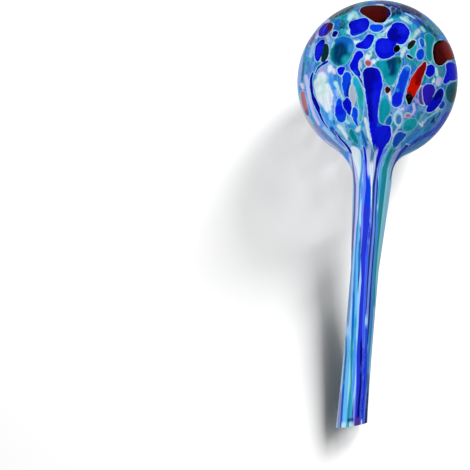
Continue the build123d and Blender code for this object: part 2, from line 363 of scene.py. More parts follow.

# Soft colours in the pale body between the chips, in the same form: a shade, a fade and strokes.
# Some white and pale strokes on the globe's left side are partly painted reflections
body_paint = {}
body_paint["upper left"] = [
    ("lagoon", 8, [(90, 38, 5), (88, 48, 6), (86, 60, 4)]),
    ("azure", 6, [(79, 40, 2), (79, 49, 2.6)], [(77, 62, 2)]),
    ("sea_green", 5, [(89, 60, 3)], [(96, 35, 3)], [(76, 32, 1), (88, 26, 0.6)]),
    ("deep_teal", 4, [(87, 44, 2), (85, 50, 1.6)]),
    ("lichen", 5, [(109, 27, 3), (113, 31, 1)]),
    ("ice", 4, [(102, 30, 2.4), (100, 35, 1)], [(99, 59, 2)]),
    ("steel", 4, [(113, 15, 2.4), (121, 12, 4), (130, 9, 3)]),
    ("patina", 3, [(118, 8, 1.4), (129, 5, 1)]),
    ("ash", 2.4, [(65, 33.5, 1.2), (76, 27, 2), (86, 22, 2.4), (96, 17, 2.4), (110, 10, 1.8)]),
    ("pine", 2, [(74, 30.5, 0.4), (86, 25.5, 1), (96, 20.5, 1), (105, 14, 0.8)]),
    ("lilac", 2.2, [(52, 43, 0.8), (43, 52, 1.2), (36, 62, 1.8), (30, 74, 2.4), (25, 85, 1.8)]),
    ("dusk", 1.4, [(35, 65, 0.8), (31, 74, 1.2), (27, 83, 1)]),
    ("lavender", 2, [(54, 40, 1.2), (61, 38.5, 0.6)], [(42, 64, 1.2), (38, 70, 1)]),
    ("pale_sky", 2.4, [(33, 83, 1.4), (30, 95, 1.6), (27, 105, 1.4)]),
    ("periwinkle", 1.6, [(23, 93, 0.8), (20, 103, 0.8)], [(33, 118, 1), (30, 130, 1)]),
    ("wisteria", 3, [(13, 90, 1.6), (9, 108, 2), (7, 126, 2), (5, 142, 2), (4, 156, 2)]),
    ("dark_steel", 1.4, [(15, 118, 0.4), (13.5, 132, 0.8), (11, 150, 0.6)]),
    ("steel", 2.6, [(23, 117, 1), (25, 126, 2.6), (22, 137, 2)]),
    ("periwinkle", 2.2, [(26, 138, 1.2), (24, 145, 0.8)]),
    ("lavender", 2, [(18, 142, 1.4), (19, 150, 2), (19, 156.8, 1.6)]),
    ("lagoon", 1.8, [(43, 117, 1.2), (39, 123, 1)]),
    ("mauve", 3, [(52, 129, 2.6), (45, 137, 1.6)]),
    # This white stroke on the globe's left side is partly its milky glass and partly a painted
    # reflection of a bright window
    ("snow", 6, [(48, 144, 5), (44, 154, 3)]),
    ("pale_green", 4, [(43, 150, 1.6)]),
    ("sky", 2.4, [(64, 140, 0.6), (65, 148, 1.4), (65, 156, 1.6)]),
    ("blush", 2.4, [(70, 131, 2), (72, 136, 1)]),
    # This white stroke is also partly milky glass and partly a painted reflection of a bright window
    ("snow", 3, [(64, 125, 2), (62, 132, 1)]),
    ("mist", 2.4, [(59, 70, 1.6), (61, 75.5, 1.2)]),
    ("snow", 2.4, [(111, 77, 3.4), (117, 75.5, 0.8)]),
    ("cerulean", 4, [(103, 69, 1.2), (113, 71.5, 1.6), (122, 69, 1.2)]),
    ("sky", 2.4, [(129, 94, 1.2), (135, 89, 1.2)]),
    ("pale_green", 4, [(139, 99, 2.4), (134, 105, 2)]),
    ("patina", 2, [(136, 100, 1)]),
    ("pale_aqua", 3, [(148, 72, 1.6), (144, 85, 1.2), (142, 94, 1)]),
    ("lagoon", 2, [(143, 98, 0.8), (147, 106, 1)], [(149, 79, 1.2), (146, 87, 0.8)]),
    ("snow", 4, [(133, 107, 2)], [(145, 115, 1.6)]),
    ("mist", 2.4, [(119, 118, 1.6), (120, 124, 1.2)]),
    ("dark_steel", 2.2, [(121, 131, 1.4)]),
    ("sky", 2, [(118, 140, 1.2), (120, 148, 1)]),
    ("azure", 1.6, [(110, 138, 1.2), (116, 145, 1.2), (121, 154, 1.2)]),
]
body_paint["upper right"] = [
    ("teal", 6, [(96, 65, 4), (100, 75, 5), (98, 84, 4)]),
    ("lagoon", 5, [(98, 96, 4), (100, 107, 2.4)], [(60, 112, 2.4), (68, 117, 3.6), (77, 119, 2)]),
    ("slate", 1.6, [(0, 4.5, 1), (15, 5, 1.4), (30, 7, 1.2), (42, 11, 1.2)]),
    ("lavender", 1.2, [(0, 9.2, 0.6), (8, 9.2, 0.8), (14, 9.2, 0.2)]),
    ("umber", 2.2, [(47, 12, 2), (60, 16, 3.2), (72, 22, 3.2), (82, 29, 2.4)]),
    ("navy", 1.2, [(16, 8.5, 1), (30, 11, 1.2), (41, 15, 1.2), (52, 21, 1.2), (60, 24, 1)]),
    ("ink", 1.4, [(60, 24, 1), (70, 32, 1.4), (78, 38, 1.4), (85, 44, 1.2)]),
    ("pine", 1.6, [(85, 44, 1.2), (92, 50, 1.4), (100, 56, 1.2), (104, 61, 1), (115, 69.5, 1)]),
    ("ash", 2, [(86, 33, 1.6), (93, 39, 1)]),
    ("patina", 3, [(95, 43, 2.6), (106, 50, 3.4), (117, 61, 2.4)]),
    ("deep_teal", 3, [(96, 52, 2), (104, 60, 2)]),
    ("sky", 2, [(121, 66, 1.2), (126, 71, 0.8)]),
    ("wisteria", 2.4, [(29, 15, 1.6), (36, 17, 0.8)]),
    ("night", 4, [(32, 17, 1.6), (31, 26, 2.4)], [(40, 21, 2), (43, 25, 2)]),
    ("teal", 3, [(36, 32, 1.6), (43, 31, 1.2)]),
    ("pale_sky", 1.2, [(55, 25, 0.6), (64, 29, 0.8), (72, 34.5, 0.4)]),
    ("lichen", 3.4, [(56, 34, 2.2), (64, 42, 1.6)]),
    ("ice", 1.6, [(46, 33, 1), (54, 37, 1.2), (60, 42, 0.8)]),
    ("azure", 2.2, [(64, 35, 1.2), (69, 39, 2)]),
    ("denim", 1.8, [(75, 36, 0.6), (78, 41, 2)]),
    ("cyan", 2.4, [(69, 54, 2.6)], [(66, 48, 1), (74, 50, 0.8)]),
    ("pale_green", 4, [(78, 58, 1.4), (72, 65, 1.4), (64, 74, 1)]),
    ("aqua", 3, [(69, 62, 1.2), (66, 68, 0.8)]),
    ("lichen", 2.2, [(85, 52, 1.6), (90, 58, 0.8)]),
    ("azure", 2.8, [(93, 63, 1.6), (101, 64, 1.6)]),
    ("pale_aqua", 2.4, [(101, 115, 1.4)]),
    ("sea_green", 3.6, [(73, 86, 1.4), (69, 96, 2.2), (65, 101, 1.2)]),
    ("sky", 1.6, [(76, 76, 0.5), (79, 81, 0.6), (81, 87, 0.6)]),
    ("azure", 2.4, [(70, 125, 1.4)]),
    ("pale_green", 3, [(50, 96, 2), (54, 90, 1.2), (48, 105, 0.8)]),
    ("mist", 1.4, [(49, 95, 0.8)]),
    ("pale_aqua", 2.8, [(47, 87, 0.8), (57, 74, 1.2), (62, 68, 0.8)]),
    ("cerulean", 2.4, [(96.5, 150, 1.8), (96, 156.8, 1.8)]),
    ("patina", 4, [(120, 133, 3)]),
    ("ice", 2, [(112, 128, 0.8), (114, 140, 1.2)]),
    ("lavender", 3.6, [(118, 148, 2.4), (116, 156, 2.4)]),
    ("snow", 1.4, [(109, 148, 0.8), (106, 154, 0.8)]),
    ("ice", 2.6, [(16, 43, 1), (23, 39, 0.8), (30, 37, 0.6)]),
    ("dark_steel", 1.4, [(21, 46, 0.8), (33, 44, 0.5)]),
    ("wisteria", 1.8, [(17, 55, 1.2), (23, 52, 0.8)]),
    ("snow", 1.2, [(27, 50, 0.8), (18, 59, 0.8), (13, 62, 0.6)]),
    ("cyan", 1.8, [(33, 35, 0.8), (44, 36, 0.8)]),
    ("cyan", 3, [(0, 64, 1.2), (6, 60, 1)]),
    ("lichen", 3, [(6, 67, 2.4), (13, 65, 1.2)]),
    ("pale_green", 2, [(3, 111, 1.2)]),
]
body_paint["lower left"] = [
    # These two white strokes on the globe's left side are partly its milky glass and partly a painted
    # reflection of a bright window
    ("snow", 5, [(42, 6, 5), (44, 20, 5), (48, 34, 5), (56, 44, 4.6), (60, 54, 2.6)]),
    ("snow", 5, [(59, 15, 5), (62, 30, 5), (66, 42, 2)]),
    ("pale_green", 3, [(37, 11, 1.4), (48, 3, 1.6), (56, 20, 1.2), (43, 26, 0.8)], [(53, 1, 1.4)]),
    ("sky", 2, [(64, 0, 1.4), (66, 10, 1.4), (71, 22, 1.4), (73, 30, 0.8)]),
    ("wisteria", 2, [(76, 20, 1.6), (77, 28, 1)]),
    ("ice", 2, [(74, 6, 2.6), (78, 14, 1.2), (82, 25, 0.8), (88, 35, 0.6)]),
    ("blush", 2, [(11, 9, 1.8), (13, 15, 1)]),
    # The pale lavender, wisteria, periwinkle, mist, lilac, steel lilac and pale sky bands from here
    # down to the second periwinkle one run along the globe's lower left edge. They are partly the
    # glass's own pale bands and partly a painted reflection of the pale surroundings at that grazing
    # edge
    ("lavender", 2, [(20, 2, 1.6), (21.5, 15, 1.4), (24, 32, 1)]),
    ("wisteria", 1.6, [(24, 36, 0.8), (28, 50, 1.2), (33, 60, 1.2), (40, 72, 1.2)]),
    ("periwinkle", 1.4, [(37, 66, 0.8), (43, 76, 1), (50, 86, 1), (60, 96, 1.2)]),
    ("mist", 1.6, [(9, 39.6, 1.2), (12.9, 51.9, 1.6), (24.5, 74.8, 2), (38.6, 96, 1.8)]),
    ("wisteria", 1.6, [(38.6, 96.5, 1.4), (47.4, 106, 1.4), (56.9, 114.8, 1.4)]),
    ("lilac", 2.4, [(35, 83, 1.2), (42, 92, 2.2), (50, 100, 1.8)]),
    ("steel_lilac", 2.6, [(48, 96, 1.2), (58, 106, 2), (70, 116, 2), (82, 126, 2), (90, 134, 1.8)]),
    ("lavender", 2, [(24, 32, 1), (29, 50, 1.2), (35, 68, 1.4), (43, 82, 1.4)]),
    ("pale_sky", 2.4, [(52, 90, 1.4), (62, 100, 1.8), (74, 111, 1.8), (86, 122, 1.8), (94, 130, 1.2)]),
    ("lavender", 1.8, [(56, 114, 0.8), (68, 124, 1.2), (80, 133, 1)]),
    ("denim", 2.8, [(66, 90, 1.6), (72, 98, 1.6), (80, 106, 1.6)]),
    ("periwinkle", 1.6, [(74, 108, 1), (82, 116, 1.2), (90, 124, 0.8)]),
    ("periwinkle", 1.3, [(70, 33, 0.6), (70, 48, 0.8), (70, 62, 0.6)]),
    ("pale_sky", 2.4, [(64, 60, 1.6), (65, 72, 1.2)]),
    ("sky", 1.6, [(54, 64, 0.8), (58, 74, 1), (60, 80, 0.6)]),
    ("snow", 2.6, [(80, 86, 1.2), (86, 92, 1.4), (92, 102, 1.2), (96, 109, 0.6)]),
    ("cerulean", 2.6, [(96, 86, 2), (104, 90, 1.6)]),
    ("ice", 1.8, [(94, 76, 1.6), (98, 80, 1.2)]),
    ("cyan", 1.6, [(109, 83, 0.8), (110, 88, 0.6)]),
    ("snow", 2.4, [(115, 93, 2.6), (120, 88, 1)]),
    ("lagoon", 3, [(100, 109, 1.6), (108, 108, 3.6), (113, 115, 2.6), (108, 120, 1.6)]),
    ("azure", 1.8, [(112, 108, 1.6), (114, 115, 1)]),
    ("snow", 2.4, [(107, 126, 1.6), (110, 136, 3.6), (114, 146, 3.2), (116, 156, 2.2)]),
    ("sky_light", 1.5, [(119, 106, 0.6), (121, 120, 1.2), (123, 134, 1.4), (122, 146, 1.8),
      (121, 156.8, 1.8)]),
    ("azure", 1.3, [(122, 95, 1.2), (126, 106, 2), (128, 120, 1.8), (129, 134, 1.2), (129, 156, 1.4)]),
    ("lagoon", 1.6, [(131, 118, 1), (135, 128, 1.4), (133, 133, 1)]),
    ("pine", 1.2, [(131, 108, 0.8), (134, 113, 0.6)]),
    ("cyan", 1.6, [(121, 76, 1.2), (124, 86, 1), (122, 90, 0.6)]),
    ("cerulean", 1.4, [(124.5, 76, 1.2), (126.2, 85, 1.2)]),
    ("snow", 1.5, [(129, 72, 1.6), (132, 82, 1.8), (133, 92, 1.4), (135, 101, 1.2), (139, 112, 1.2)]),
    ("snow", 1.4, [(139, 112, 1.2), (144, 122, 1), (149, 132, 0.6)]),
    ("wisteria", 2, [(138, 124, 1.6), (136, 140, 1.2), (136, 150, 1)]),
    ("patina", 1.8, [(143, 136, 1.8), (142, 143, 1.2)]),
    ("mist", 2, [(143, 154, 2)]),
    ("steel", 1.4, [(131, 47, 0.6), (130, 56, 0.8), (131, 64, 0.8)]),
]
body_paint["lower right"] = [
    ("azure", 3, [(26, 62, 2), (23, 76, 2.6), (26, 90, 1.4)]),
    ("denim", 3.4, [(45, 96, 2), (42, 108, 2.6), (38, 118, 2), (52, 104, 2)]),
    ("steel", 3, [(96, 73, 2.6), (101, 82, 2), (92, 88, 1.6)]),
    ("patina", 1.6, [(90, 83, 1)], [(78, 49, 1)]),
    ("ink", 1.4, [(104, 79, 0.8), (109, 72, 0.8)]),
    ("denim", 1.6, [(119, 62, 0.8), (113, 72, 1), (108, 80, 0.8)]),
    ("sky", 1.2, [(11, 0, 0.6), (13, 10, 0.8), (11, 20, 0.6), (8, 33, 0.6)]),
    ("snow", 2, [(19, 15, 1), (24, 24, 1.8), (27, 37, 0.8)]),
    ("blush", 1.8, [(25, 22, 1.2), (24, 30, 0.8)]),
    ("ice", 1, [(32, 12, 0.8), (36, 3, 0.6)]),
    ("steel", 1.6, [(42, 70, 1.6), (42, 78, 1.6)]),
    ("ice", 1.2, [(35, 64, 0.8), (33, 72, 1), (37, 82, 0.8), (43, 87, 1), (47, 80, 0.6),
      (49, 70, 0.6)]),
    ("ice", 1.2, [(49, 70, 0.6), (47, 62, 0.8), (40, 59, 1.2), (35, 64, 0.8)]),
    ("lavender", 2, [(44, 56, 2), (50, 54, 1.2)]),
    ("lavender", 1.2, [(29, 89, 0.6), (29, 98, 0.8), (32, 106, 1.2), (37, 96, 0.8), (43, 87, 0.8)]),
    ("cerulean", 1.6, [(33, 94, 0.8)]),
    ("wisteria", 1.2, [(32, 106, 0.8), (30, 118, 0.5)]),
    ("periwinkle", 2.4, [(60, 50, 1.6), (60, 59, 1.2)]),
    ("lavender", 1.8, [(70, 45, 1.2), (72, 56, 1.2), (68, 64, 1)]),
    ("denim", 1.4, [(59, 59.5, 1.6)]),
    ("plum", 1.4, [(59, 69, 1.4), (64, 68, 0.6)]),
    ("lagoon", 2.6, [(80, 62, 1.6), (78, 72, 1.2)]),
    ("denim", 1.6, [(86, 61, 1.2)]),
    ("mauve", 1.6, [(74, 35, 1.2), (76, 42, 1)]),
    ("steel", 2.4, [(76, 96, 1.2), (70, 104, 1.4)]),
    ("cerulean", 2.4, [(62, 111, 1.4), (54, 118, 1)]),
    ("cerulean", 2, [(50, 120, 1), (56, 111, 1)]),
    ("sky", 2, [(85, 86, 1), (83, 96, 1), (74, 107, 1.2), (64, 116, 1.6), (54, 126, 2)]),
    ("wisteria", 2, [(54, 126, 2.2), (44, 134, 2), (36, 143, 1.8), (31, 152, 1.8)]),
    ("ash", 1.2, [(78.5, 93, 1.2)]),
    ("snow", 1.2, [(87, 79, 0.8), (86, 86, 0.8), (80, 80, 0.4)]),
    ("pale_sky", 1, [(119, 50, 1.2), (115, 58, 0.8), (105, 65, 0.6), (95, 72, 0.6), (89, 80, 0.6)]),
    ("lavender", 1.4, [(115, 52, 1.2), (112, 57, 0.8)]),
    ("azure", 4, [(139, 56, 3), (137, 70, 3), (130, 86, 3), (118, 98, 2.6)]),
    ("royal", 3.4, [(133, 64, 2.4), (127, 76, 3), (118, 89, 3.4), (106, 98, 3), (94, 103, 2)]),
    ("royal", 2.4, [(94, 103, 2), (84, 108, 1.4)]),
    ("violet", 1.2, [(135, 62, 0.6), (129, 76, 0.8), (122, 88, 0.6)]),
    ("periwinkle", 1, [(133, 39, 0.6), (130, 52, 0.6), (123, 64, 0.6), (119, 74, 0.8), (103, 92, 0.6)]),
    ("patina", 1.4, [(116, 101, 0.6), (105, 111, 1), (90, 120, 1), (76, 127, 0.8)]),
    ("cerulean", 2.4, [(100, 108, 1.4), (88, 116, 1.8), (76, 123, 1.8), (64, 130, 1.8),
      (45, 145, 1.2)]),
    ("denim", 1.8, [(83, 108, 1.4), (72, 115, 1.6), (62, 123, 1.6), (53, 131, 1.6), (45, 139, 1.6)]),
    ("denim", 1.8, [(45, 139, 1.6), (38, 148, 1.6), (35, 155, 1.4)]),
    ("lagoon", 2, [(29, 128, 1.2), (25, 138, 2.2), (22, 147, 1.8)]),
    ("deep_teal", 1.6, [(35, 129, 1.2), (26, 142, 0.8)]),
    ("sky_light", 1.4, [(28, 120, 0.8), (25, 129, 0.8), (20, 140, 0.8), (15, 148, 0.8)]),
    ("periwinkle", 2, [(118, 44, 1.6), (122, 40, 1.6)]),
    ("steel", 2, [(140, 42, 1.2), (137, 52, 1.8), (133, 58, 1.2)]),
]

# Bands drawn down the neck and stem, in the photograph's pixels: the glass of those that stand a
# little proud, a shade, and rows of (place down, left edge, right edge). A later band lies over
# an earlier one, and a band whose last row is as low as the tip's runs on over it
tip_row = 415
stem_bands = [
    ("", "pale_sky", [(162, 348, 404), (169, 350, 396), (420, 330, 370)]),
    ("", "lavender", [(156, 348.5, 352), (164, 350.5, 355.5), (169, 353, 356.8), (186, 355.6, 358.9),
      (214, 355, 358.4), (230, 354.2, 356.3), (245, 353.4, 354.8)]),
    ("opal", "snow", [(150, 352, 357.6), (158, 352.6, 358.6), (169, 356.8, 360.6),
      (180, 358.6, 359.2)]),
    ("violet", "dusk", [(156, 351, 352.4), (162, 351.6, 353), (169, 352.4, 354.4), (186, 354.1, 356.1),
      (214, 353.4, 355.4), (230, 352.3, 354.4), (255.5, 351, 352.8)]),
    ("", "steel_lilac", [(250, 351.2, 353.4), (281, 349.6, 351.4), (306.5, 347.8, 350.4),
      (326, 346.6, 348.8)]),
    ("", "ice", [(154, 358.2, 361), (169, 360, 361.2)]),
    ("", "ice", [(205, 359.8, 361), (214, 359.3, 361), (226, 359.4, 360.6)]),
    ("sky", "cerulean", [(150, 360.8, 363.4), (158, 361, 364.5), (169, 361, 363.1), (186, 358.9, 361),
      (214, 358.2, 359.3), (230, 356.1, 358.1), (255.5, 354.9, 356.1), (281, 353.3, 355.8),
      (306.5, 352.3, 354.9), (325.7, 351.4, 354.2), (345, 350.8, 353.2)]),
    ("", "sky", [(182, 361.2, 362.6), (190, 361, 363.1), (200, 360.8, 362)]),
    ("sky", "sky_light", [(222, 358.6, 359.6), (230, 358.1, 359.7), (255.5, 356.1, 358.1),
      (281, 355.8, 358.1), (306.5, 354.9, 357.1), (325.7, 354.4, 356.8)]),
    ("", "cyan", [(316, 354.8, 356.4), (325.7, 354.2, 356.5), (354.3, 352.9, 355),
      (370, 352.6, 354.4)]),
    ("", "sky", [(340, 354.4, 356.6), (354.3, 353.4, 356.5), (383.7, 352.1, 354.6),
      (395, 351.6, 353.4)]),
    ("royal", "azure", [(240, 359, 360.2), (255.5, 358.1, 360.6), (270, 358.1, 360.2),
      (281, 358.1, 359)]),
    ("", "navy", [(226, 360, 360.9), (240, 359.8, 360.8), (250, 360.4, 361)]),
    ("", "navy", [(272, 358.6, 359.6), (281, 358, 359), (292, 357.6, 358.2)]),
    ("", "azure", [(292, 352.6, 354.4), (306.5, 352.3, 354.6), (325.7, 351.6, 354),
      (340, 351.4, 353.2)]),
    ("sky", "sky_light", [(336, 347.2, 349.4), (354.3, 347, 350.3), (383.7, 344.8, 347.9),
      (409.4, 343, 347.4), (424, 342, 346.4)]),
    ("", "pale_aqua", [(372, 348.6, 350.4), (383.7, 347.9, 350.5), (398, 347.6, 349.6)]),
    ("teal", "teal", [(340, 350.6, 352.8), (354.3, 350.3, 352.9), (370, 350.4, 352.4),
      (383.7, 350.5, 352.1), (409.4, 347.4, 350.3), (424, 346.6, 349.6)]),
    ("", "cyan", [(392, 351.4, 353), (409.4, 350.3, 352.1), (424, 349.8, 351.4)]),
    ("", "dark_steel", [(336, 345.6, 346.8), (354.3, 345, 347), (370, 343.6, 345.8),
      (383.7, 342.6, 344.8)]),
    ("cobalt", "denim", [(383.7, 342.6, 344.8), (409.4, 340.8, 343), (424, 340, 342.2)]),
    ("", "lilac", [(392, 340, 342), (409.4, 338.4, 340.8), (424, 337.4, 340)]),
    ("", "lavender", [(148, 366, 371), (158, 366.8, 370.4), (169, 366.8, 368.9), (176, 367.4, 368)]),
    ("", "patina", [(146, 372, 376), (158, 370.2, 373.7), (168, 369.4, 371.6)]),
    ("", "lavender", [(150, 375.6, 378.4), (158, 373.7, 376.5), (169, 372.6, 374.8),
      (182, 371.6, 372.6)]),
    ("", "snow", [(162, 369.6, 373.2), (169, 369, 373), (186, 370.7, 372.4), (200, 371.2, 371.8)]),
    ("royal", "periwinkle", [(160, 363.6, 364.8), (169, 363.1, 365.6), (186, 363.1, 365.9),
      (214, 361, 363.1), (230, 360.9, 362.8), (246, 360.6, 361.4)]),
    ("cobalt", "cobalt", [(148, 363.4, 365.4), (158, 364.5, 367), (169, 365.6, 367), (178, 365.6, 368),
      (186, 365.8, 370.9), (214, 363.1, 370.2), (230, 362.8, 368.6), (255.5, 360.6, 365.8),
      (281, 361.3, 364.8), (306.5, 359.3, 363.5), (325.7, 358.4, 362.5), (354.3, 356.5, 362.4),
      (383.7, 356.2, 361.7), (409.4, 355.1, 359.8), (424, 354.2, 359)]),
    ("", "royal", [(176, 366.6, 370.4), (190, 366, 370.8), (205, 364.6, 370.4)]),
    ("", "periwinkle", [(206, 370.2, 371), (214, 370.2, 371.9), (222, 369.6, 371.4)]),
    ("", "ultramarine", [(222, 368.6, 370.8), (230, 368.6, 370.8), (242, 367.4, 369.6)]),
    ("royal", "bright_blue", [(242, 367, 369.4), (255.5, 365.8, 368.3), (281, 364.8, 366.7),
      (306.5, 363.5, 365.7), (325.7, 362.5, 364.8), (345, 362.4, 364.6)]),
    ("royal", "royal", [(325.7, 364.8, 367.6), (354.3, 364.8, 367.6), (383.7, 364.2, 366.8),
      (409.4, 362, 364.6), (424, 361.4, 364)]),
    ("", "ultramarine", [(345, 362.4, 365.4), (383.7, 361.7, 365), (409.4, 359.8, 362.6),
      (424, 359, 361.8)]),
    ("", "navy", [(372, 359.9, 361.7), (383.7, 359.8, 361.7), (409.4, 357.3, 359.8),
      (424, 356.4, 359.2)]),
    ("", "navy", [(340, 360.4, 362), (354.3, 359.8, 362.4), (366, 360, 361.8)]),
    ("", "periwinkle", [(392, 355.6, 356.4), (409.4, 353.2, 355.1), (424, 352.4, 354.2)]),
    ("", "navy", [(398, 353.4, 353.8), (409.4, 352.1, 353.2), (424, 351.4, 352.4)]),
    ("", "cobalt", [(150, 379.4, 384), (158, 376.5, 380), (166, 375, 378)]),
    ("cobalt", "navy", [(160, 376.3, 379), (169, 374.7, 377.2), (186, 372.3, 375.1),
      (214, 371.9, 373.7), (230, 370.8, 372.7), (255.5, 368.3, 370.5), (281, 366.7, 368.6),
      (306.5, 365.7, 367), (316, 365.2, 366.2)]),
    ("royal", "periwinkle", [(150, 384, 387.5), (158, 380, 383.5), (169, 377.2, 379.3),
      (186, 375.1, 376.5), (214, 373.7, 374.9), (230, 372.7, 374.6), (255.5, 370.5, 372.4),
      (281, 368.6, 370.5), (306.5, 367, 368.6), (318, 366.6, 367.6)]),
    ("cobalt", "navy", [(178, 377, 378), (186, 376.5, 378.2), (214, 374.9, 376.2), (230, 374.6, 375.7),
      (255.5, 372.4, 374), (281, 370.5, 372.1), (306.5, 368.6, 370.8), (325.7, 367.6, 369.5),
      (345, 367.2, 368)]),
    ("aqua", "cyan", [(156, 383.2, 385), (169, 379.3, 381.5), (186, 378.2, 380.4),
      (205, 376.8, 377.8)]),
    ("sky", "cerulean", [(208, 376.2, 377.2), (214, 376.2, 377.6), (230, 375.7, 378.2),
      (255.5, 374, 375.6), (281, 372.1, 374.3), (306.5, 370.8, 373.4), (325.7, 369.5, 372.4),
      (354.3, 367.6, 369.8), (372, 367, 368.6)]),
    ("teal", "teal", [(146, 391.4, 395), (158, 386.6, 391.2), (169, 381.5, 387.7), (186, 380.4, 385.6),
      (214, 377.6, 382.1), (230, 378.2, 380.3), (255.5, 375.6, 377.6), (281, 374.3, 375.6),
      (306.5, 373.4, 374.8)]),
    ("aqua", "pale_aqua", [(160, 391.2, 393), (169, 387.7, 391.6), (186, 385.6, 388.4),
      (214, 382.1, 385.4), (230, 380.3, 383.4), (255.5, 377.6, 380.6), (281, 375.6, 378)]),
    ("", "wisteria", [(146, 398, 401.6), (158, 391.4, 396.1), (166, 390, 392.6)]),
    ("cobalt", "denim", [(146, 402.4, 405.6), (158, 396.1, 399.6), (169, 391.6, 393.2),
      (180, 389.6, 390.4)]),
    ("", "dark_steel", [(372, 366.8, 369), (383.7, 366.8, 369), (398, 366.4, 368.4)]),
    ("", "periwinkle", [(392, 365.6, 367), (409.4, 364.2, 365.4), (424, 363.4, 364.6)]),
    ("", "navy", [(392, 367, 369), (409.4, 365.2, 368), (424, 364.4, 367.4)]),
    ("", "navy", [(419, 347.4, 353.6), (426, 347, 353)]),
    ("", "ice", [(423, 341.6, 354.2), (430, 341, 353.6)]),
    ("", "sea_green", [(422.6, 346.2, 349.4), (430, 346, 349)]),
    ("", "plum", [(417.6, 354.6, 359.8), (430, 354, 359)]),
    ("", "snow", [(420, 361, 362.2), (424, 360.8, 362)]),
]

# Chips and streaks on the sides the photograph doesn't show are scattered with this seed, in
# these glasses: each is a glass, a shade and its share
scatter_seed = 11
scatter_tries = 900
scattered_glasses = [
    ("cobalt", "cobalt", 0.30), ("royal", "royal", 0.13), ("teal", "teal", 0.20),
    ("teal", "deep_teal", 0.05), ("aqua", "aqua", 0.08), ("sky", "sky", 0.05),
    ("violet", "violet", 0.04), ("maroon", "maroon", 0.06), ("scarlet", "scarlet", 0.03),
    ("black", "black", 0.03), ("pink", "rose", 0.03),
]
streak_glasses = [
    ("cobalt", "cobalt", 0.3), ("royal", "royal", 0.2), ("teal", "teal", 0.15),
    ("aqua", "pale_aqua", 0.1), ("sky", "sky_light", 0.15), ("opal", "snow", 0.1),
]


def linear(name):
    """A named colour as the linear values that materials take."""
    shares = np.array(colours[name]) / 255
    return np.where(shares <= 0.04045, shares / 12.92, ((shares + 0.055) / 1.055) ** 2.4)


def smooth(t):
    """A smooth step from 0 to 1 as t goes from 0 to 1."""
    t = np.clip(t, 0, 1)
    return t * t * (3 - 2 * t)


def between(first, second, share):
    """A blend of two colours or places, by the share of the first."""
    return first * share + second * (1 - share)


def camera_axes():
    """The directions of the camera's right, up and forward."""
    forward = Vector((0, cos(view_tilt), sin(view_tilt)))
    right = Vector((1, 0, 0))
    up = right.cross(forward)
    turn = Matrix.Rotation(view_roll, 3, forward)
    right, up = turn @ right, turn @ up
    turn = Matrix.Rotation(view_yaw, 3, up)
    right, forward = turn @ right, turn @ forward
    turn = Matrix.Rotation(view_pitch, 3, right)
    up, forward = turn @ up, turn @ forward
    return right, up, forward


globe_centre = Vector((globe_shift, 0, globe_height))
camera_right, camera_up, camera_forward = camera_axes()
camera_place = globe_centre - view_distance * Vector((0, cos(view_tilt), sin(view_tilt)))
focal_pixels = view_lens / sensor_width * photo_size


def neck_blend():
    """The arc from the tapering neck into the globe: the neck's slope, its centre and its ends."""
    meeting = globe_height - sqrt(globe_radius**2 - neck_radius**2)
    slope = (neck_radius - stem_radius) / (meeting - straight_length)
    stretch = sqrt(1 + slope**2)
    foot = stem_radius - slope * straight_length + blend_radius * stretch
    half_b = foot * slope - globe_height
    rest = foot**2 + globe_height**2 - (globe_radius + blend_radius) ** 2
    arc_height = (-half_b - sqrt(half_b**2 - stretch**2 * rest)) / stretch**2
    arc_reach = foot + slope * arc_height
    start = arc_height + blend_radius * slope / stretch
    end = globe_height + (arc_height - globe_height) * globe_radius / (globe_radius + blend_radius)
    return slope, arc_reach, arc_height, start, end


neck_slope, arc_reach, arc_height, arc_start, arc_end = neck_blend()


def outer_radius(height):
    """The vessel's outer radius at this height, from the tip to where the globe begins."""
    radius = stem_radius + neck_slope * np.maximum(height - straight_length, 0)
    radius = radius + tip_flare * np.clip(1 - height / tip_flare_length, 0, 1) ** 2
    reach = np.sqrt(np.maximum(blend_radius**2 - (height - arc_height) ** 2, 0))
    return np.where(height > arc_start, arc_reach - reach, radius)


def profile_rings():
    """Heights and radii of the vessel's rings, from the tip to the crown."""
    stem = np.arange(0, straight_length, stem_step)
    neck = np.linspace(straight_length, arc_end, int((arc_end - straight_length) / neck_step))
    low = np.concatenate([stem, neck])
    first = -np.arccos((globe_height - arc_end) / globe_radius)
    steps = int((pi + first) * globe_radius / globe_step)
    angles = np.linspace(-first, pi, steps + 1)[1:-1]
    heights = np.concatenate([low, globe_height - globe_radius * np.cos(angles)])
    radii = np.concatenate([outer_radius(low), globe_radius * np.sin(angles)])
    return heights, radii


ring_heights, ring_radii = profile_rings()
ring_count = len(ring_heights)
ring_steps = np.hypot(np.diff(ring_heights), np.diff(ring_radii))
ring_runs = np.concatenate([[0], np.cumsum(ring_steps)])
even_turns = np.arange(turn_steps) / turn_steps * 2 * pi - pi
turn_angles = even_turns - front_bunching * np.cos(even_turns)


def axis_shift(height):
    """How far the vessel's centre line lies across at this height."""
    return globe_shift * smooth((height - shift_start) / (arc_end - shift_start))


def vessel_grid():
    """The outer surface as rings of points, with a point at the crown: places and normals."""
    heights = ring_heights[:, None]
    radii = ring_radii[:, None]
    rise = np.gradient(ring_heights)[:, None]
    spread = np.gradient(ring_radii)[:, None]
    across = np.cos(turn_angles)[None, :]
    along = np.sin(turn_angles)[None, :]
    slant = radii * across * tip_slope * smooth(1 - heights / tip_fade)
    ones = np.ones_like(across)
    places = np.stack(
        [radii * across + axis_shift(heights) * ones, radii * along, heights + slant], axis=2
    )
    normals = np.stack([rise * across, rise * along, -spread * ones], axis=2)
    normals /= np.linalg.norm(normals, axis=2, keepdims=True)
    crown = [[globe_shift, 0, globe_height + globe_radius]]
    places = np.concatenate([places.reshape(-1, 3), crown])
    normals = np.concatenate([normals.reshape(-1, 3), [[0, 0, 1]]])
    return places, normals


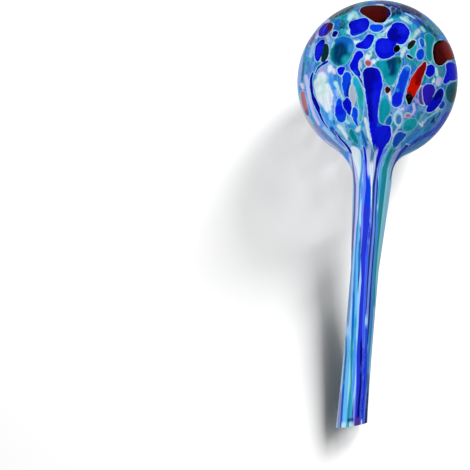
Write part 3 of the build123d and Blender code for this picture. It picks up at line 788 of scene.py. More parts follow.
def grid_triangles(rings, turns, crown=None):
    """Triangles of a grid of rings, facing outwards, closed at the crown if it has one."""
    low = (np.arange(rings - 1) * turns)[:, None]
    here = np.arange(turns)[None, :]
    beside = np.roll(np.arange(turns), -1)[None, :]
    a, b, c, d = low + here, low + beside, low + turns + beside, low + turns + here
    lists = [np.stack([a, b, c], 2).reshape(-1, 3), np.stack([a, c, d], 2).reshape(-1, 3)]
    if crown is not None:
        top = (rings - 1) * turns
        last = np.full(turns, crown)
        lists.append(np.stack([top + here[0], top + beside[0], last], 1))
    return np.concatenate(lists)


places, normals = vessel_grid()
point_count = len(places)
triangles = grid_triangles(ring_count, turn_steps, crown=point_count - 1)
point_turns = np.append(np.tile(turn_angles, ring_count), 0)
point_heights = np.append(np.repeat(ring_heights, turn_steps), ring_heights[-1])
point_radii = np.append(np.repeat(ring_radii, turn_steps), 0)
point_runs = np.append(np.repeat(ring_runs, turn_steps), ring_runs[-1])
point_views = np.array(camera_place) - places
point_views /= np.linalg.norm(point_views, axis=1, keepdims=True)
point_facing = np.sum(point_views * normals, axis=1)


def cast_tree():
    """A lighter copy of the surface that the photograph's pixels are laid on."""
    from mathutils.bvhtree import BVHTree

    skip = 4
    light = places[:-1].reshape(ring_count, turn_steps, 3)[:, ::skip].reshape(-1, 3)
    faces = grid_triangles(ring_count, turn_steps // skip)
    return BVHTree.FromPolygons(light.tolist(), faces.tolist())


surface_tree = cast_tree()


def seen_at(x, y):
    """The vessel's place and normal at this pixel, or the nearest ones beside it."""
    ray = camera_forward + camera_right * ((x - photo_size / 2) / focal_pixels)
    ray += camera_up * ((photo_size / 2 - y) / focal_pixels)
    ray.normalize()
    place, normal, face, reach = surface_tree.ray_cast(camera_place, ray)
    if place is None:
        beside = camera_place + ray * (-camera_place.y / ray.y)
        place, normal, face, reach = surface_tree.find_nearest(beside)
    return place, normal, ray


# Pixels between the laid rounds of a stroke, and the least that a surface counts as facing
stroke_step = 3
least_facing = 0.2


def laid_stroke(rounds):
    """A stroke's rounds laid on the vessel, close together: places and radii."""
    laid = []
    for start, end in zip(rounds, rounds[1:] + rounds[-1:]):
        gap = np.hypot(end[0] - start[0], end[1] - start[1])
        steps = max(int(gap / stroke_step), 1)
        laid += [[a + (b - a) * k / steps for a, b in zip(start, end)] for k in range(steps)]
    laid.append(rounds[-1])
    spots, radii = [], []
    for x, y, radius in laid:
        place, normal, ray = seen_at(x, y)
        facing = min(max(-normal.dot(ray), least_facing), 1)
        pixel = (place - camera_place).dot(camera_forward) / focal_pixels
        spots.append(place)
        radii.append(radius * pixel / sqrt(facing))
    return np.array(spots), np.array(radii)


def stroke_distances(spots, radii, targets):
    """How far each target is outside a stroke's edge. It is negative inside."""
    nearest = np.full(len(targets), np.inf)
    for a, b, start, end in zip(spots, spots[1:], radii, radii[1:]):
        run = b - a
        share = np.clip((targets - a) @ run / max(run @ run, tiny), 0, 1)
        gaps = np.linalg.norm(targets - a - share[:, None] * run, axis=1)
        nearest = np.minimum(nearest, gaps - start - share * (end - start))
    return nearest


def stroke_field(strokes, margin):
    """Points near some laid strokes, and how far each is outside their common edge."""
    spots = np.concatenate([spots for spots, radii in strokes])
    widest = max(radii.max() for spots, radii in strokes)
    middle = (spots.min(0) + spots.max(0)) / 2
    reach = (spots.max(0) - spots.min(0)) / 2 + widest + margin
    near = np.flatnonzero(np.all(np.abs(places - middle) < reach, axis=1))
    fields = [stroke_distances(spots, radii, places[near]) for spots, radii in strokes]
    return near, np.min(fields, axis=0)


# Smooth random waves that edges and colours follow: the seed of each, its length, and how far it
# is drawn out along the stem
waves = {
    "chips": (3, 3 * mm, 1),
    "chips, fine": (9, 1.3 * mm, 1),
    "ribbons": (4, 4 * mm, 1),
    "streaks": (5, 4 * mm, 5),
    "far chips": (8, 5 * mm, 1),
    "far streaks": (6, 4 * mm, 5),
    "broad bands": (14, 17 * mm, 2.5),
    "fine bands": (15, 9 * mm, 3),
    "stem bands": (16, 3.5 * mm, 12),
}
wave_count = 9
wave_lengths = (0.6, 1.6)


def ripple(name):
    """A smooth random wave over the vessel's points, about -1 to 1."""
    seed, size, stretch = waves[name]
    random = np.random.default_rng(seed)
    wave = np.zeros(point_count)
    for turn in range(wave_count):
        direction = random.normal(size=3)
        direction /= np.linalg.norm(direction)
        direction[2] /= stretch
        length = size * random.uniform(*wave_lengths)
        wave += np.sin(places @ direction * 2 * pi / length + random.uniform(0, 2 * pi))
    return wave / sqrt(wave_count)


# Gaps between chips, how far their edges swell and wander, and how far fields are worked out
chip_gap = 0.3 * mm
streak_gap = 0.03 * mm
touching_glass = "black"
field_margin = 3.5 * mm
chip_swell = 0.16 * mm
chip_ripple = 0.12 * mm
fine_ripple = 0.05 * mm
streak_ripple = 0.10 * mm
far_chip_ripple = 3 * chip_ripple
far = 1.0

# How far below the tip a streak's foot is laid, and over how many steps its edges are eased
below_tip = -5 * mm
edge_window = 7

# How fully paint covers, how far it fades out and goes past the seen edge, and how soft the
# sides and ends of bands are, in pixels
paint_strength = 0.94
paint_reach = 1.25
seen_edge = 0.05
globe_wrap = 0.35
band_soft = 0.35
band_end = 3.0
tip_end = 0.6


def pixels_of(spots):
    """Where these places fall in the photograph, and how large a pixel is there."""
    from_camera = spots - np.array(camera_place)
    depth = from_camera @ np.array(camera_forward)
    across = photo_size / 2 + focal_pixels * (from_camera @ np.array(camera_right)) / depth
    down = photo_size / 2 - focal_pixels * (from_camera @ np.array(camera_up)) / depth
    return np.stack([across, down], axis=1), depth / focal_pixels


def laid_open(pixels):
    """The points' pixels, with those just behind the globe's edge laid open past it."""
    centre = np.array(globe_centre)
    towards = np.array(camera_place) - centre
    distance = np.linalg.norm(towards)
    towards /= distance
    off = places - centre
    aside = off - (off @ towards)[:, None] * towards
    aside /= np.maximum(np.linalg.norm(aside, axis=1, keepdims=True), tiny)
    nearness = globe_radius / distance
    edge = centre + globe_radius * (towards * nearness + aside * sqrt(1 - nearness**2))
    hidden = on_globe & (point_facing < 0)
    return np.where(hidden[:, None], 2 * pixels_of(edge)[0] - pixels, pixels)


point_pixels, point_pixel_sizes = pixels_of(places)
on_globe = point_heights > arc_end
point_pixels = laid_open(point_pixels)
point_cover = smooth(0.5 + point_facing / (2 * seen_edge))
point_cover = np.where(on_globe, smooth(1 + point_facing / globe_wrap), point_cover)


# Outlines have their corners cut this many times, this far along each side
corner_cuts = 2
cut_share = 0.25


def rounded_outline(corners):
    """An outline with its corners cut off."""
    for turn in range(corner_cuts):
        after = np.roll(corners, -1, axis=0)
        cut = [between(after, corners, share) for share in (cut_share, 1 - cut_share)]
        corners = np.stack(cut, axis=1).reshape(-1, 2)
    return corners


def read_off(view, rounds):
    """Places, and radii where given, read off an enlarged view, as pixels of the photograph."""
    across, down, units = enlarged[view]
    rounds = np.array(rounds, dtype=float) / units
    rounds[:, 0] += across
    rounds[:, 1] += down
    return rounds


def outline_field(corners):
    """Seen points near an outline in pixels, and how far each is outside it on the surface."""
    corners = rounded_outline(corners)
    margin = field_margin * focal_pixels / view_distance
    box = (point_pixels > corners.min(0) - margin) & (point_pixels < corners.max(0) + margin)
    near = np.flatnonzero(box.all(axis=1) & (point_cover > 0) & (on_globe | (point_facing > 0)))
    spots = point_pixels[near]
    nearest = np.full(len(near), np.inf)
    within = np.zeros(len(near), dtype=bool)
    for a, b in zip(corners, np.roll(corners, -1, axis=0)):
        run = b - a
        share = np.clip((spots - a) @ run / max(run @ run, tiny), 0, 1)
        nearest = np.minimum(nearest, np.linalg.norm(spots - a - share[:, None] * run, axis=1))
        level = (a[1] > spots[:, 1]) != (b[1] > spots[:, 1])
        beside = spots[:, 0] < a[0] + run[0] * (spots[:, 1] - a[1]) / (run[1] or tiny)
        within ^= level & beside
    facing = np.clip(abs(point_facing[near]), least_facing, 1)
    reach = nearest * point_pixel_sizes[near] / np.sqrt(facing)
    return near, np.where(within, -reach, reach)


def chip_flecks(entries):
    """The outlined chips as flecks: glass, shade, the points near each and its field there."""
    flecks = []
    wander = chip_ripple * ripple("chips")
    fine = fine_ripple * ripple("chips, fine")
    for glass, shade, *outlines in entries:
        gap = streak_gap if glass == touching_glass else chip_gap
        for corners in outlines:
            near, field = outline_field(read_off("globe", np.reshape(corners, (-1, 2))))
            field = field - chip_swell + wander[near] + fine[near]
            flecks.append((glass, shade, near, field, gap))
    return flecks


def ribbon_flecks(entries):
    """The chips that are given as strokes, as flecks."""
    flecks = []
    wave = ripple("ribbons")
    for glass, shade, *strokes in entries:
        laid = [laid_stroke(rounds) for rounds in strokes]
        near, field = stroke_field(laid, field_margin)
        flecks.append((glass, shade, near, field + chip_ripple * wave[near], chip_gap))
    return flecks


def eased(values, window):
    """A run of values with its corners rounded off."""
    padded = np.pad(values, window // 2, mode="edge")
    return np.convolve(padded, np.ones(window) / window, mode="valid")[: len(values)]


def streak_edges(rows):
    """A streak's left and right edges as angles at even heights, from its rows of pixels."""
    sides = []
    for side in (1, 2):
        spots = [seen_at(row[side], row[0])[0] for row in rows]
        heights = np.array([spot.z for spot in spots])
        turns = np.array([np.arctan2(spot.y, spot.x - axis_shift(spot.z)) for spot in spots])
        sides.append((heights, turns))
    lowest = min(sides[0][0].min(), sides[1][0].min())
    highest = max(sides[0][0].max(), sides[1][0].max())
    if rows[-1][0] >= tip_row:
        lowest = below_tip
    heights = np.arange(lowest, highest + mm, mm)
    edges = [eased(np.interp(heights, h[::-1], t[::-1]), edge_window) for h, t in sides]
    return heights, edges[0], edges[1]


def streak_field(heights, left, right):
    """Points near a streak, and how far each is outside its edges."""
    near = np.flatnonzero((point_heights < heights[-1] + field_margin) & (point_radii > 0))
    near = near[point_heights[near] > heights[0] - field_margin]
    lefts = np.interp(point_heights[near], heights, left)
    rights = np.interp(point_heights[near], heights, right)
    middle = (lefts + rights) / 2
    off = (point_turns[near] - middle + pi) % (2 * pi) - pi
    field = (np.abs(off) - (rights - lefts) / 2) * point_radii[near]
    field = np.maximum(field, point_heights[near] - heights[-1])
    field = np.maximum(field, heights[0] - point_heights[near])
    close = field < field_margin
    return near[close], field[close]


def streak_flecks():
    """The bands that stand proud of the stem, as flecks."""
    flecks = []
    wave = ripple("streaks")
    for glass, shade, rows in stem_bands:
        if glass:
            near, field = streak_field(*streak_edges(rows))
            flecks.append((glass, shade, near, field + streak_ripple * wave[near], streak_gap))
    return flecks


def picked_glass(random, choices):
    """One of these glasses, by its share."""
    shares = np.array([share for glass, shade, share in choices])
    return choices[random.choice(len(shares), p=shares / shares.sum())]


# Scattered chips: how far round the front and how far down the neck they go, their sizes and
# lengths, how far apart they lie, the widths of their ends, and how they lie along the meridian
hidden_edge = -0.03
lowest_chip = -0.86
chip_sizes = (1.3, 4.6)
shortest_chip = 0.2
longest_chips = (1.2, 3.2)
drawing_start = 0.35
drawing_reach = 1.1
chip_spacing = 0.62
length_weight = 0.4
head_widths = (0.5, 1)
foot_widths = (0.4, 1)
chip_lean = 0.5
crown_lean = 1.6


def on_sphere(centre, spot):
    """The place on the globe that lies straight out from its centre through this spot."""
    return centre + (spot - centre) / np.linalg.norm(spot - centre) * globe_radius


def chip_path(direction, heading):
    """A direction along the globe's surface, at this angle to the way down."""
    down = np.cross(np.cross(direction, [0, 0, 1]), direction)
    down /= np.linalg.norm(down)
    return down * cos(heading) + np.cross(down, direction) * sin(heading)


def scattered_chips():
    """Chips of random size over the sides that the photograph doesn't show."""
    random = np.random.default_rng(scatter_seed)
    wave = ripple("far chips")
    centre = np.array(globe_centre)
    taken, flecks = [], []
    for turn in range(scatter_tries):
        direction = random.normal(size=3)
        direction /= np.linalg.norm(direction)
        place = centre + direction * globe_radius
        view = np.array(camera_place) - place
        if direction @ view > hidden_edge * np.linalg.norm(view) or direction[2] < lowest_chip:
            continue
        size = random.uniform(*chip_sizes) * mm
        drawn = smooth((drawing_start - direction[2]) / drawing_reach)
        length = size * random.uniform(shortest_chip, longest_chips[0] + longest_chips[1] * drawn)
        gaps = [np.linalg.norm(place - spot) - chip_spacing * (size + other) for spot, other in taken]
        if gaps and min(gaps) < 0:
            continue
        taken.append((place, size + length_weight * length))
        heading = random.uniform(-chip_lean, chip_lean)
        heading += (1 - drawn) * random.uniform(-crown_lean, crown_lean)
        path = chip_path(direction, heading)
        ends = (place - path * length, place, place + path * length)
        spots = np.array([on_sphere(centre, end) for end in ends])
        radii = size * np.array([random.uniform(*head_widths), 1, random.uniform(*foot_widths)])
        glass, shade, share = picked_glass(random, scattered_glasses)
        near, field = stroke_field([(spots, radii)], field_margin)
        flecks.append((glass, shade, near, field + far_chip_ripple * wave[near], chip_gap))
    return flecks


# Scattered streaks: where round the stem they start and end, their widths and the gaps between
# them in degrees, where their heads and raised feet lie, how those taper, and how they sway
first_streak, last_streak, streak_limit = 2, 176, 179
streak_widths = (8, 26)
streak_spaces = (2, 7)
streak_heads = (122, 152)
streak_feet = (20, 90)
to_tip_share = 0.7
head_taper = 18 * mm
foot_taper = 14 * mm
sway = 0.05
sway_length = 28 * mm


def scattered_streaks():
    """Streaks of random width down the side of the neck and stem that isn't shown."""
    random = np.random.default_rng(scatter_seed + 1)
    wave = ripple("far streaks")
    flecks = []
    turn = radians(first_streak)
    while turn < radians(last_streak):
        width = min(radians(random.uniform(*streak_widths)), radians(streak_limit) - turn)
        glass, shade, share = picked_glass(random, streak_glasses)
        top = random.uniform(*streak_heads) * mm
        foot = below_tip if random.random() < to_tip_share else random.uniform(*streak_feet) * mm
        heights = np.arange(foot, top + mm, mm)
        share = smooth((top - heights) / head_taper)
        if foot > 0:
            share = np.minimum(share, smooth((heights - foot) / foot_taper))
        middle = turn + width / 2 + sway * np.sin(heights / sway_length + turn)
        near, field = streak_field(heights, middle - share * width / 2, middle + share * width / 2)
        flecks.append((glass, shade, near, field + streak_ripple * wave[near], streak_gap))
        turn += width + radians(random.uniform(*streak_spaces))
    return flecks


# How chips differ in brightness, and how far neighbouring chips' shades blend into each other
tint_seed = 21
tint_spread = (0.86, 1.12)
tint_blend = 0.7 * mm
tint_reach = 3 * mm
least_weight = 1e-6


def glass_fields(flecks):
    """Each glass's field and colour over the vessel. Later flecks lie over earlier ones."""
    glasses = sorted({fleck[0] for fleck in flecks})
    over = {glass: np.full(point_count, far) for glass in glasses}
    fields = {glass: np.full(point_count, far) for glass in glasses}
    weights = {glass: np.full(point_count, least_weight) for glass in glasses}
    tints = {glass: np.zeros((point_count, 3)) for glass in glasses}
    random = np.random.default_rng(tint_seed)
    for glass, shade, near, field, gap in reversed(flecks):
        others = [other for other in glasses if other != glass]
        gaps = [streak_gap if other == touching_glass else gap for other in others]
        cut = np.max([width - over[other][near] for other, width in zip(others, gaps)], axis=0)
        cut = np.maximum(field, cut)
        fields[glass][near] = np.minimum(fields[glass][near], cut)
        over[glass][near] = np.minimum(over[glass][near], field)
        weight = np.exp(-np.clip(field, -tint_reach, tint_reach) / tint_blend)
        weights[glass][near] += weight
        tints[glass][near] += weight[:, None] * (linear(shade) * random.uniform(*tint_spread))
    for glass in glasses:
        tints[glass] /= weights[glass][:, None]
    return fields, tints


def paint_share(strokes, soft):
    """Seen points near some strokes in pixels, and how strongly their colour covers each."""
    strokes = [np.concatenate([rounds, rounds[-1:]]) for rounds in strokes]
    spots = np.concatenate(strokes)
    reach = spots[:, 2].max() + paint_reach * soft
    low, high = spots[:, :2].min(0) - reach, spots[:, :2].max(0) + reach
    box = (point_pixels > low) & (point_pixels < high)
    near = np.flatnonzero(box.all(axis=1) & (point_cover > 0))
    pixels = point_pixels[near]
    outside = [stroke_distances(rounds[:, :2], rounds[:, 2], pixels) for rounds in strokes]
    return near, smooth(paint_reach - np.min(outside, axis=0) / soft) * point_cover[near]


def lay_paint(tint, shade, near, share):
    """Lays a shade over a tint at these points, by its share at each."""
    tint[near] = between(linear(shade), tint[near], paint_strength * share[:, None])


def lay_strokes(tint, view, shade, fade, strokes):
    """Lays a shade over a tint in these strokes of an enlarged view."""
    laid = [read_off(view, rounds) for rounds in strokes]
    near, share = paint_share(laid, fade / enlarged[view][2])
    lay_paint(tint, shade, near, share)


def paint_chips(tints):
    """Lays the soft colours over the glasses that they show in."""
    for view, entries in chip_paint.items():
        for glass, shade, fade, *strokes in entries:
            lay_strokes(tints[glass], view, shade, fade, strokes)


def edge_share(inside, soft):
    """How strongly paint covers this far inside an edge that is as soft as this either way."""
    return smooth(0.5 + inside / (2 * soft))


def band_share(rows):
    """Seen points near a band down the stem, and how strongly it covers each."""
    downs, lefts, rights = np.array(rows).T
    inside = (point_pixels[:, 1] > downs[0] - band_end) & (point_heights < globe_height)
    if downs[-1] < tip_row:
        inside &= point_pixels[:, 1] < downs[-1] + band_end
    near = np.flatnonzero(inside & (point_cover > 0))
    across, down = point_pixels[near].T
    left, right = np.interp(down, downs, lefts), np.interp(down, downs, rights)
    outside = np.abs(across - (left + right) / 2) - (right - left) / 2
    fade = band_end if downs[0] < tip_row else tip_end
    share = edge_share(-outside, band_soft) * edge_share(down - downs[0], fade)
    if downs[-1] < tip_row:
        share *= edge_share(downs[-1] - down, fade)
    return near, share * point_cover[near]


def paint_stem(layers):
    """Lays the stem's bands over the body's tint and every glass's."""
    for glass, shade, rows in stem_bands:
        near, share = band_share(rows)
        for tint in layers:
            lay_paint(tint, shade, near, share)


# The pale body's colour: the side of the globe where it is deepest and darkest, up to the right and a
# little towards the front, how strong that is, how far round it goes and how much paler bands thin
# it, and the shares of teal and of ice in it
deep_side = np.array((0.6, -0.2, 0.77))
deep_strength = 0.9
deep_start = 0.85
deep_thinning = 0.45
teal_share = 0.8
ice_share = 0.5
stem_tint_length = 20 * mm


def soft_bands(name, level, swing):
    """Soft bands from 0 to 1, which swing about this level with a wave."""
    return smooth(level + swing * ripple(name))[:, None]


def body_tint():
    """The pale body's colour: soft random bands, with the paint of the table over them."""
    broad = soft_bands("broad bands", level=0.5, swing=0.5)
    fine = soft_bands("fine bands", level=0.3, swing=0.6)
    deep = between(linear("teal"), linear("azure"), teal_share * broad)
    pale = between(linear("cyan"), linear("sky"), broad)
    pale = between(linear("ice"), pale, ice_share * fine)
    towards_deep = (places - np.array(globe_centre)) @ deep_side / globe_radius
    deep_share = deep_strength * smooth(deep_start + towards_deep)[:, None]
    tint = between(deep, pale, deep_share * (1 - deep_thinning * fine))
    drop = globe_height - globe_radius - point_heights
    drawn = soft_bands("stem bands", level=0.5, swing=0.6)
    stem_tint = between(linear("pale_sky"), linear("pale_aqua"), drawn)
    tint = between(stem_tint, tint, smooth(drop / stem_tint_length)[:, None])
    for view, entries in body_paint.items():
        for shade, fade, *strokes in entries:
            lay_strokes(tint, view, shade, fade, strokes)
    return tint


# The drawn grain: how far it is spread round the axis, and how much shorter it is along it
grain_reach = 20 * mm
grain_draw = 0.07


def grain_vectors():
    """Where each point lies in the drawn grain, which runs along the meridians."""
    across, along = np.cos(point_turns) * grain_reach, np.sin(point_turns) * grain_reach
    return np.stack([across, along, point_runs * grain_draw], axis=1)


grain = grain_vectors()


def in_scene(name, data):
    """A new object with this data, in the scene."""
    thing = bpy.data.objects.new(name, data)
    bpy.context.collection.objects.link(thing)
    return thing


# Edges sharper than these angles stay sharp
chip_crease = radians(40)
body_crease = radians(50)


def mesh_piece(name, corners, faces):
    """A smooth-shaded piece of the vessel."""
    mesh = bpy.data.meshes.new(name)
    mesh.from_pydata(corners.tolist(), [], faces.tolist())
    mesh.shade_smooth()
    mesh.set_sharp_from_angle(angle=chip_crease)
    return in_scene(name, mesh)


# How a piece keeps each kind of value: its type, and what its numbers are called
kept_kinds = {
    "tint": ("FLOAT_COLOR", "color"),
    "grain": ("FLOAT_VECTOR", "vector"),
    "edge": ("FLOAT", "value"),
    "gap": ("FLOAT", "value"),
}


def keep_values(piece, name, values):
    """Keeps a value for each of a piece's points, for its material."""
    kind, key = kept_kinds[name]
    attribute = piece.data.attributes.new(name, kind, "POINT")
    if name == "tint":
        values = np.concatenate([values, np.ones((len(values), 1))], axis=1)
    attribute.data.foreach_set(key, np.ascontiguousarray(values, dtype=np.float32).ravel())


# How far plates stand out of the body and reach into it, how near an edge may come to a point of
# the surface, as a share of the way to the next, and how deep inside a chip its edge is known
chip_rise = 0.03 * mm
chip_depth = 0.25 * mm
crossing_limits = (0.02, 0.98)
edge_reach = 2 * mm


def cut_surface(field):
    """The part of the surface where the field is negative: its triangles, the crossings that
    its edge passes through, and the edge's own segments."""
    inside = field < 0
    held = inside[triangles]
    counts = held.sum(1)
    whole = triangles[counts == 3]
    single = triangles[counts == 1]
    turns = np.argmax(inside[single], axis=1)
    lone = np.stack([single[np.arange(len(single)), (turns + k) % 3] for k in range(3)], 1)
    double = triangles[counts == 2]
    turns = np.argmin(inside[double], axis=1)
    pair = np.stack([double[np.arange(len(double)), (turns + k) % 3] for k in range(3)], 1)
    edges = np.concatenate([lone[:, [0, 1]], lone[:, [0, 2]], pair[:, [1, 0]], pair[:, [2, 0]]])
    keys, places_in = np.unique(edges, axis=0, return_inverse=True)
    marks = places_in.reshape(-1) + point_count
    ones, twos = len(lone), len(pair)
    lone_b, lone_c = marks[:ones], marks[ones : 2 * ones]
    pair_b, pair_c = marks[2 * ones : 2 * ones + twos], marks[2 * ones + twos :]
    cut = [
        np.stack([lone[:, 0], lone_b, lone_c], 1),
        np.stack([pair_b, pair[:, 1], pair[:, 2]], 1),
        np.stack([pair_b, pair[:, 2], pair_c], 1),
    ]
    faces = np.concatenate([whole] + cut)
    rims = np.concatenate([np.stack([lone_b, lone_c], 1), np.stack([pair_c, pair_b], 1)])
    return faces, keys, rims


def plate_piece(name, field, tint):
    """The plates of one glass: thin, closed, curved like the vessel and set into its surface."""
    faces, crossings, rims = cut_surface(field)
    inner, outer = crossings[:, 0], crossings[:, 1]
    share = np.clip(field[inner] / (field[inner] - field[outer]), *crossing_limits)[:, None]

    def joined(values):
        """These values on the surface's points, followed by those at the crossings."""
        return np.concatenate([values, between(values[outer], values[inner], share)])

    spots = joined(places)
    leans = joined(normals)
    leans /= np.linalg.norm(leans, axis=1, keepdims=True)
    used, marks = np.unique(faces, return_inverse=True)
    marks = marks.reshape(-1, 3)
    order = np.zeros(len(spots), dtype=int)
    order[used] = np.arange(len(used))
    walls = order[rims]
    count = len(used)
    top = spots[used] + leans[used] * chip_rise
    under = spots[used] - leans[used] * chip_depth
    sides = [
        np.stack([walls[:, 0], walls[:, 0] + count, walls[:, 1] + count], 1),
        np.stack([walls[:, 0], walls[:, 1] + count, walls[:, 1]], 1),
    ]
    shell = np.concatenate([marks, marks[:, ::-1] + count] + sides)
    piece = mesh_piece(name, np.concatenate([top, under]), shell)
    depth = joined(-np.clip(field, -edge_reach, 0)[:, None])[used]
    depth[used >= point_count] = 0
    for kept, values in (("tint", joined(tint)[used]), ("edge", depth), ("grain", joined(grain)[used])):
        keep_values(piece, kept, np.tile(values, (2, 1)))
    return piece


# The hollow body: its wall, the columns round it, how many rings its inside leaves out, the
# radius of the circle that its section is swept along, and how near points are joined
wall_depth = pin_radius - bore_radius
body_turns = 252
inner_skip = 8
path_radius = 1 * mm
weld_distance = 0.001 * mm


def half_section():
    """Half of the wall's section: from the crown down the outside, and up the bore to the crown."""
    rise, spread = np.gradient(ring_heights), np.gradient(ring_radii)
    length = np.hypot(rise, spread)
    inner_radii = ring_radii - wall_depth * rise / length
    inner_heights = ring_heights + wall_depth * spread / length
    outer_top = (0, globe_height + globe_radius)
    inner_top = (0, globe_height + globe_radius - wall_depth)
    outside = list(zip(ring_radii, ring_heights))
    inside = list(zip(inner_radii, inner_heights))[::inner_skip]
    inside = [(radius, height) for radius, height in inside if radius > 0]
    points = [outer_top] + outside[::-1] + inside + [inner_top]
    mesh = bpy.data.meshes.new("wall section")
    corners = [(radius, 0, height) for radius, height in points]
    mesh.from_pydata(corners, [(k, k + 1) for k in range(len(corners) - 1)], [])
    return in_scene("body", mesh)


def wire(tree, node, inputs):
    """Gives a node its inputs; each is a value or another node's output."""
    for key, value in inputs.items():
        if isinstance(value, bpy.types.NodeSocket):
            tree.links.new(value, node.inputs[key])
        else:
            node.inputs[key].default_value = value


def add_node(tree, kind, inputs=None, **settings):
    """A node with its settings and inputs; an input is a value or another node's output."""
    node = tree.nodes.new(kind)
    for key, value in settings.items():
        setattr(node, key, value)
    wire(tree, node, inputs or {})
    return node


def math_node(tree, operation, *values):
    """A Math node's output, from values or other outputs."""
    inputs = dict(enumerate(values))
    return add_node(tree, "ShaderNodeMath", inputs, operation=operation).outputs[0]


def product(tree, share, *others):
    """The product of these values or outputs."""
    for other in others:
        share = math_node(tree, "MULTIPLY", share, other)
    return share


def rest_of(tree, share):
    """What a share leaves of the whole."""
    return math_node(tree, "SUBTRACT", 1, share)


def eased_share(tree, value, start, end):
    """A smooth step from 0 at start to 1 at end."""
    inputs = {"Value": value, "From Min": start, "From Max": end}
    node = add_node(tree, "ShaderNodeMapRange", inputs, interpolation_type="SMOOTHSTEP")
    return node.outputs["Result"]


def height_of(tree, place):
    """How high a place lies."""
    return add_node(tree, "ShaderNodeSeparateXYZ", {"Vector": place}).outputs["Z"]


def own_place(tree):
    """Where each point lies on the globe."""
    return add_node(tree, "ShaderNodeTexCoord").outputs["Object"]


def new_group(name, kind, inputs, outputs):
    """A node group with these sockets, by the type of each, and what it is given."""
    tree = bpy.data.node_groups.new(name, kind)
    for way, sockets in (("INPUT", inputs), ("OUTPUT", outputs)):
        for socket_kind, names in sockets.items():
            for socket in names:
                tree.interface.new_socket(socket, in_out=way, socket_type="NodeSocket" + socket_kind)
    return tree, add_node(tree, "NodeGroupInput").outputs


def noise_node(tree, vector, scale, **settings):
    """A soft noise's value."""
    inputs = {"Vector": vector, "Scale": scale, "Detail": 2}
    inputs.update({key.capitalize(): value for key, value in settings.items()})
    return add_node(tree, "ShaderNodeTexNoise", inputs).outputs["Fac"]


def spread_share(tree, value, low, high, least, most):
    """A value that goes straight from least to most as the given one goes from low to high."""
    inputs = {"Value": value, "From Min": low, "From Max": high, "To Min": least, "To Max": most}
    return add_node(tree, "ShaderNodeMapRange", inputs).outputs[0]


def mixed_colour(tree, share, first, second):
    """A colour between two, each a named colour or another node's output."""
    inputs = {0: share, 6: first, 7: second}
    for key, colour in inputs.items():
        if isinstance(colour, str):
            inputs[key] = (*linear(colour), 1)
    return add_node(tree, "ShaderNodeMix", inputs, data_type="RGBA").outputs[2]


def lathe_tree():
    """Geometry Nodes that turn a half section into a vessel, slant its tip and shift its globe."""
    sizes = ("Bunching", "Tip Slope", "Tip Fade", "Globe Shift", "Shift Start", "Shift End")
    inputs = {"Geometry": ["Section"], "Int": ["Turns"], "Float": sizes, "Material": ["Glass"]}
    tree, given = new_group("blown vessel", "GeometryNodeTree", inputs, {"Geometry": ["Vessel"]})

    def node(kind, inputs=None, **settings):
        """The first output of a new node."""
        return add_node(tree, kind, inputs, **settings).outputs[0]

    section = node("GeometryNodeMeshToCurve", {"Mesh": given["Section"]})
    laid = {"Geometry": section, "Rotation": (pi / 2, 0, 0), "Translation": (-path_radius, 0, 0)}
    section = node("GeometryNodeTransform", laid)
    circle = {"Resolution": given["Turns"], "Radius": path_radius}
    path = node("GeometryNodeCurvePrimitiveCircle", circle)
    steps = math_node(tree, "DIVIDE", node("GeometryNodeInputIndex"), given["Turns"])
    even = math_node(tree, "SUBTRACT", product(tree, steps, 2 * pi), pi)
    bunched = product(tree, math_node(tree, "COSINE", even), given["Bunching"])
    turn = math_node(tree, "SUBTRACT", even, bunched)
    across = product(tree, math_node(tree, "COSINE", turn), path_radius)
    along = product(tree, math_node(tree, "SINE", turn), path_radius)
    spot = node("ShaderNodeCombineXYZ", {"X": across, "Y": along})
    path = node("GeometryNodeSetPosition", {"Geometry": path, "Position": spot})
    path = node("GeometryNodeSetCurveNormal", {"Curve": path}, mode="Z_UP")
    wall = node("GeometryNodeCurveToMesh", {"Curve": path, "Profile Curve": section})
    wall = node("GeometryNodeMergeByDistance", {"Geometry": wall, "Distance": weld_distance})
    place = {"Vector": node("GeometryNodeInputPosition")}
    place = add_node(tree, "ShaderNodeSeparateXYZ", place).outputs
    slanted = rest_of(tree, eased_share(tree, place["Z"], 0, given["Tip Fade"]))
    lift = product(tree, place["X"], given["Tip Slope"], slanted)
    shifted = eased_share(tree, place["Z"], given["Shift Start"], given["Shift End"])
    shift = product(tree, shifted, given["Globe Shift"])
    offset = node("ShaderNodeCombineXYZ", {"X": shift, "Z": lift})
    wall = node("GeometryNodeSetPosition", {"Geometry": wall, "Offset": offset})
    wall = node("GeometryNodeRealizeInstances", {"Geometry": wall})
    wall = node("GeometryNodeSetMaterial", {"Geometry": wall, "Material": given["Glass"]})
    add_node(tree, "NodeGroupOutput", {"Vessel": wall})
    return tree


def give_inputs(modifier, values):
    """Sets a Geometry Nodes modifier's inputs by their names."""
    for item in modifier.node_group.interface.items_tree:
        if item.in_out == "INPUT" and item.name in values:
            modifier[item.identifier] = values[item.name]


def made_plain(piece):
    """Turns what a piece's modifiers make into its own mesh, and removes the modifiers."""
    shown = piece.evaluated_get(bpy.context.evaluated_depsgraph_get())
    mesh = bpy.data.meshes.new_from_object(shown)
    piece.modifiers.clear()
    piece.data = mesh
    return piece


def lathed_body(glass):
    """The hollow body, turned from its half section and made plain."""
    body = half_section()
    modifier = body.modifiers.new("lathe", "NODES")
    modifier.node_group = lathe_tree()
    sizes = {"Turns": body_turns, "Bunching": front_bunching, "Glass": glass}
    tip = {"Tip Slope": tip_slope, "Tip Fade": tip_fade}
    shift = {"Globe Shift": globe_shift, "Shift Start": shift_start, "Shift End": arc_end}
    give_inputs(modifier, {**sizes, **tip, **shift})
    made_plain(body)
    body.data.shade_smooth()
    body.data.set_sharp_from_angle(angle=body_crease)
    return body


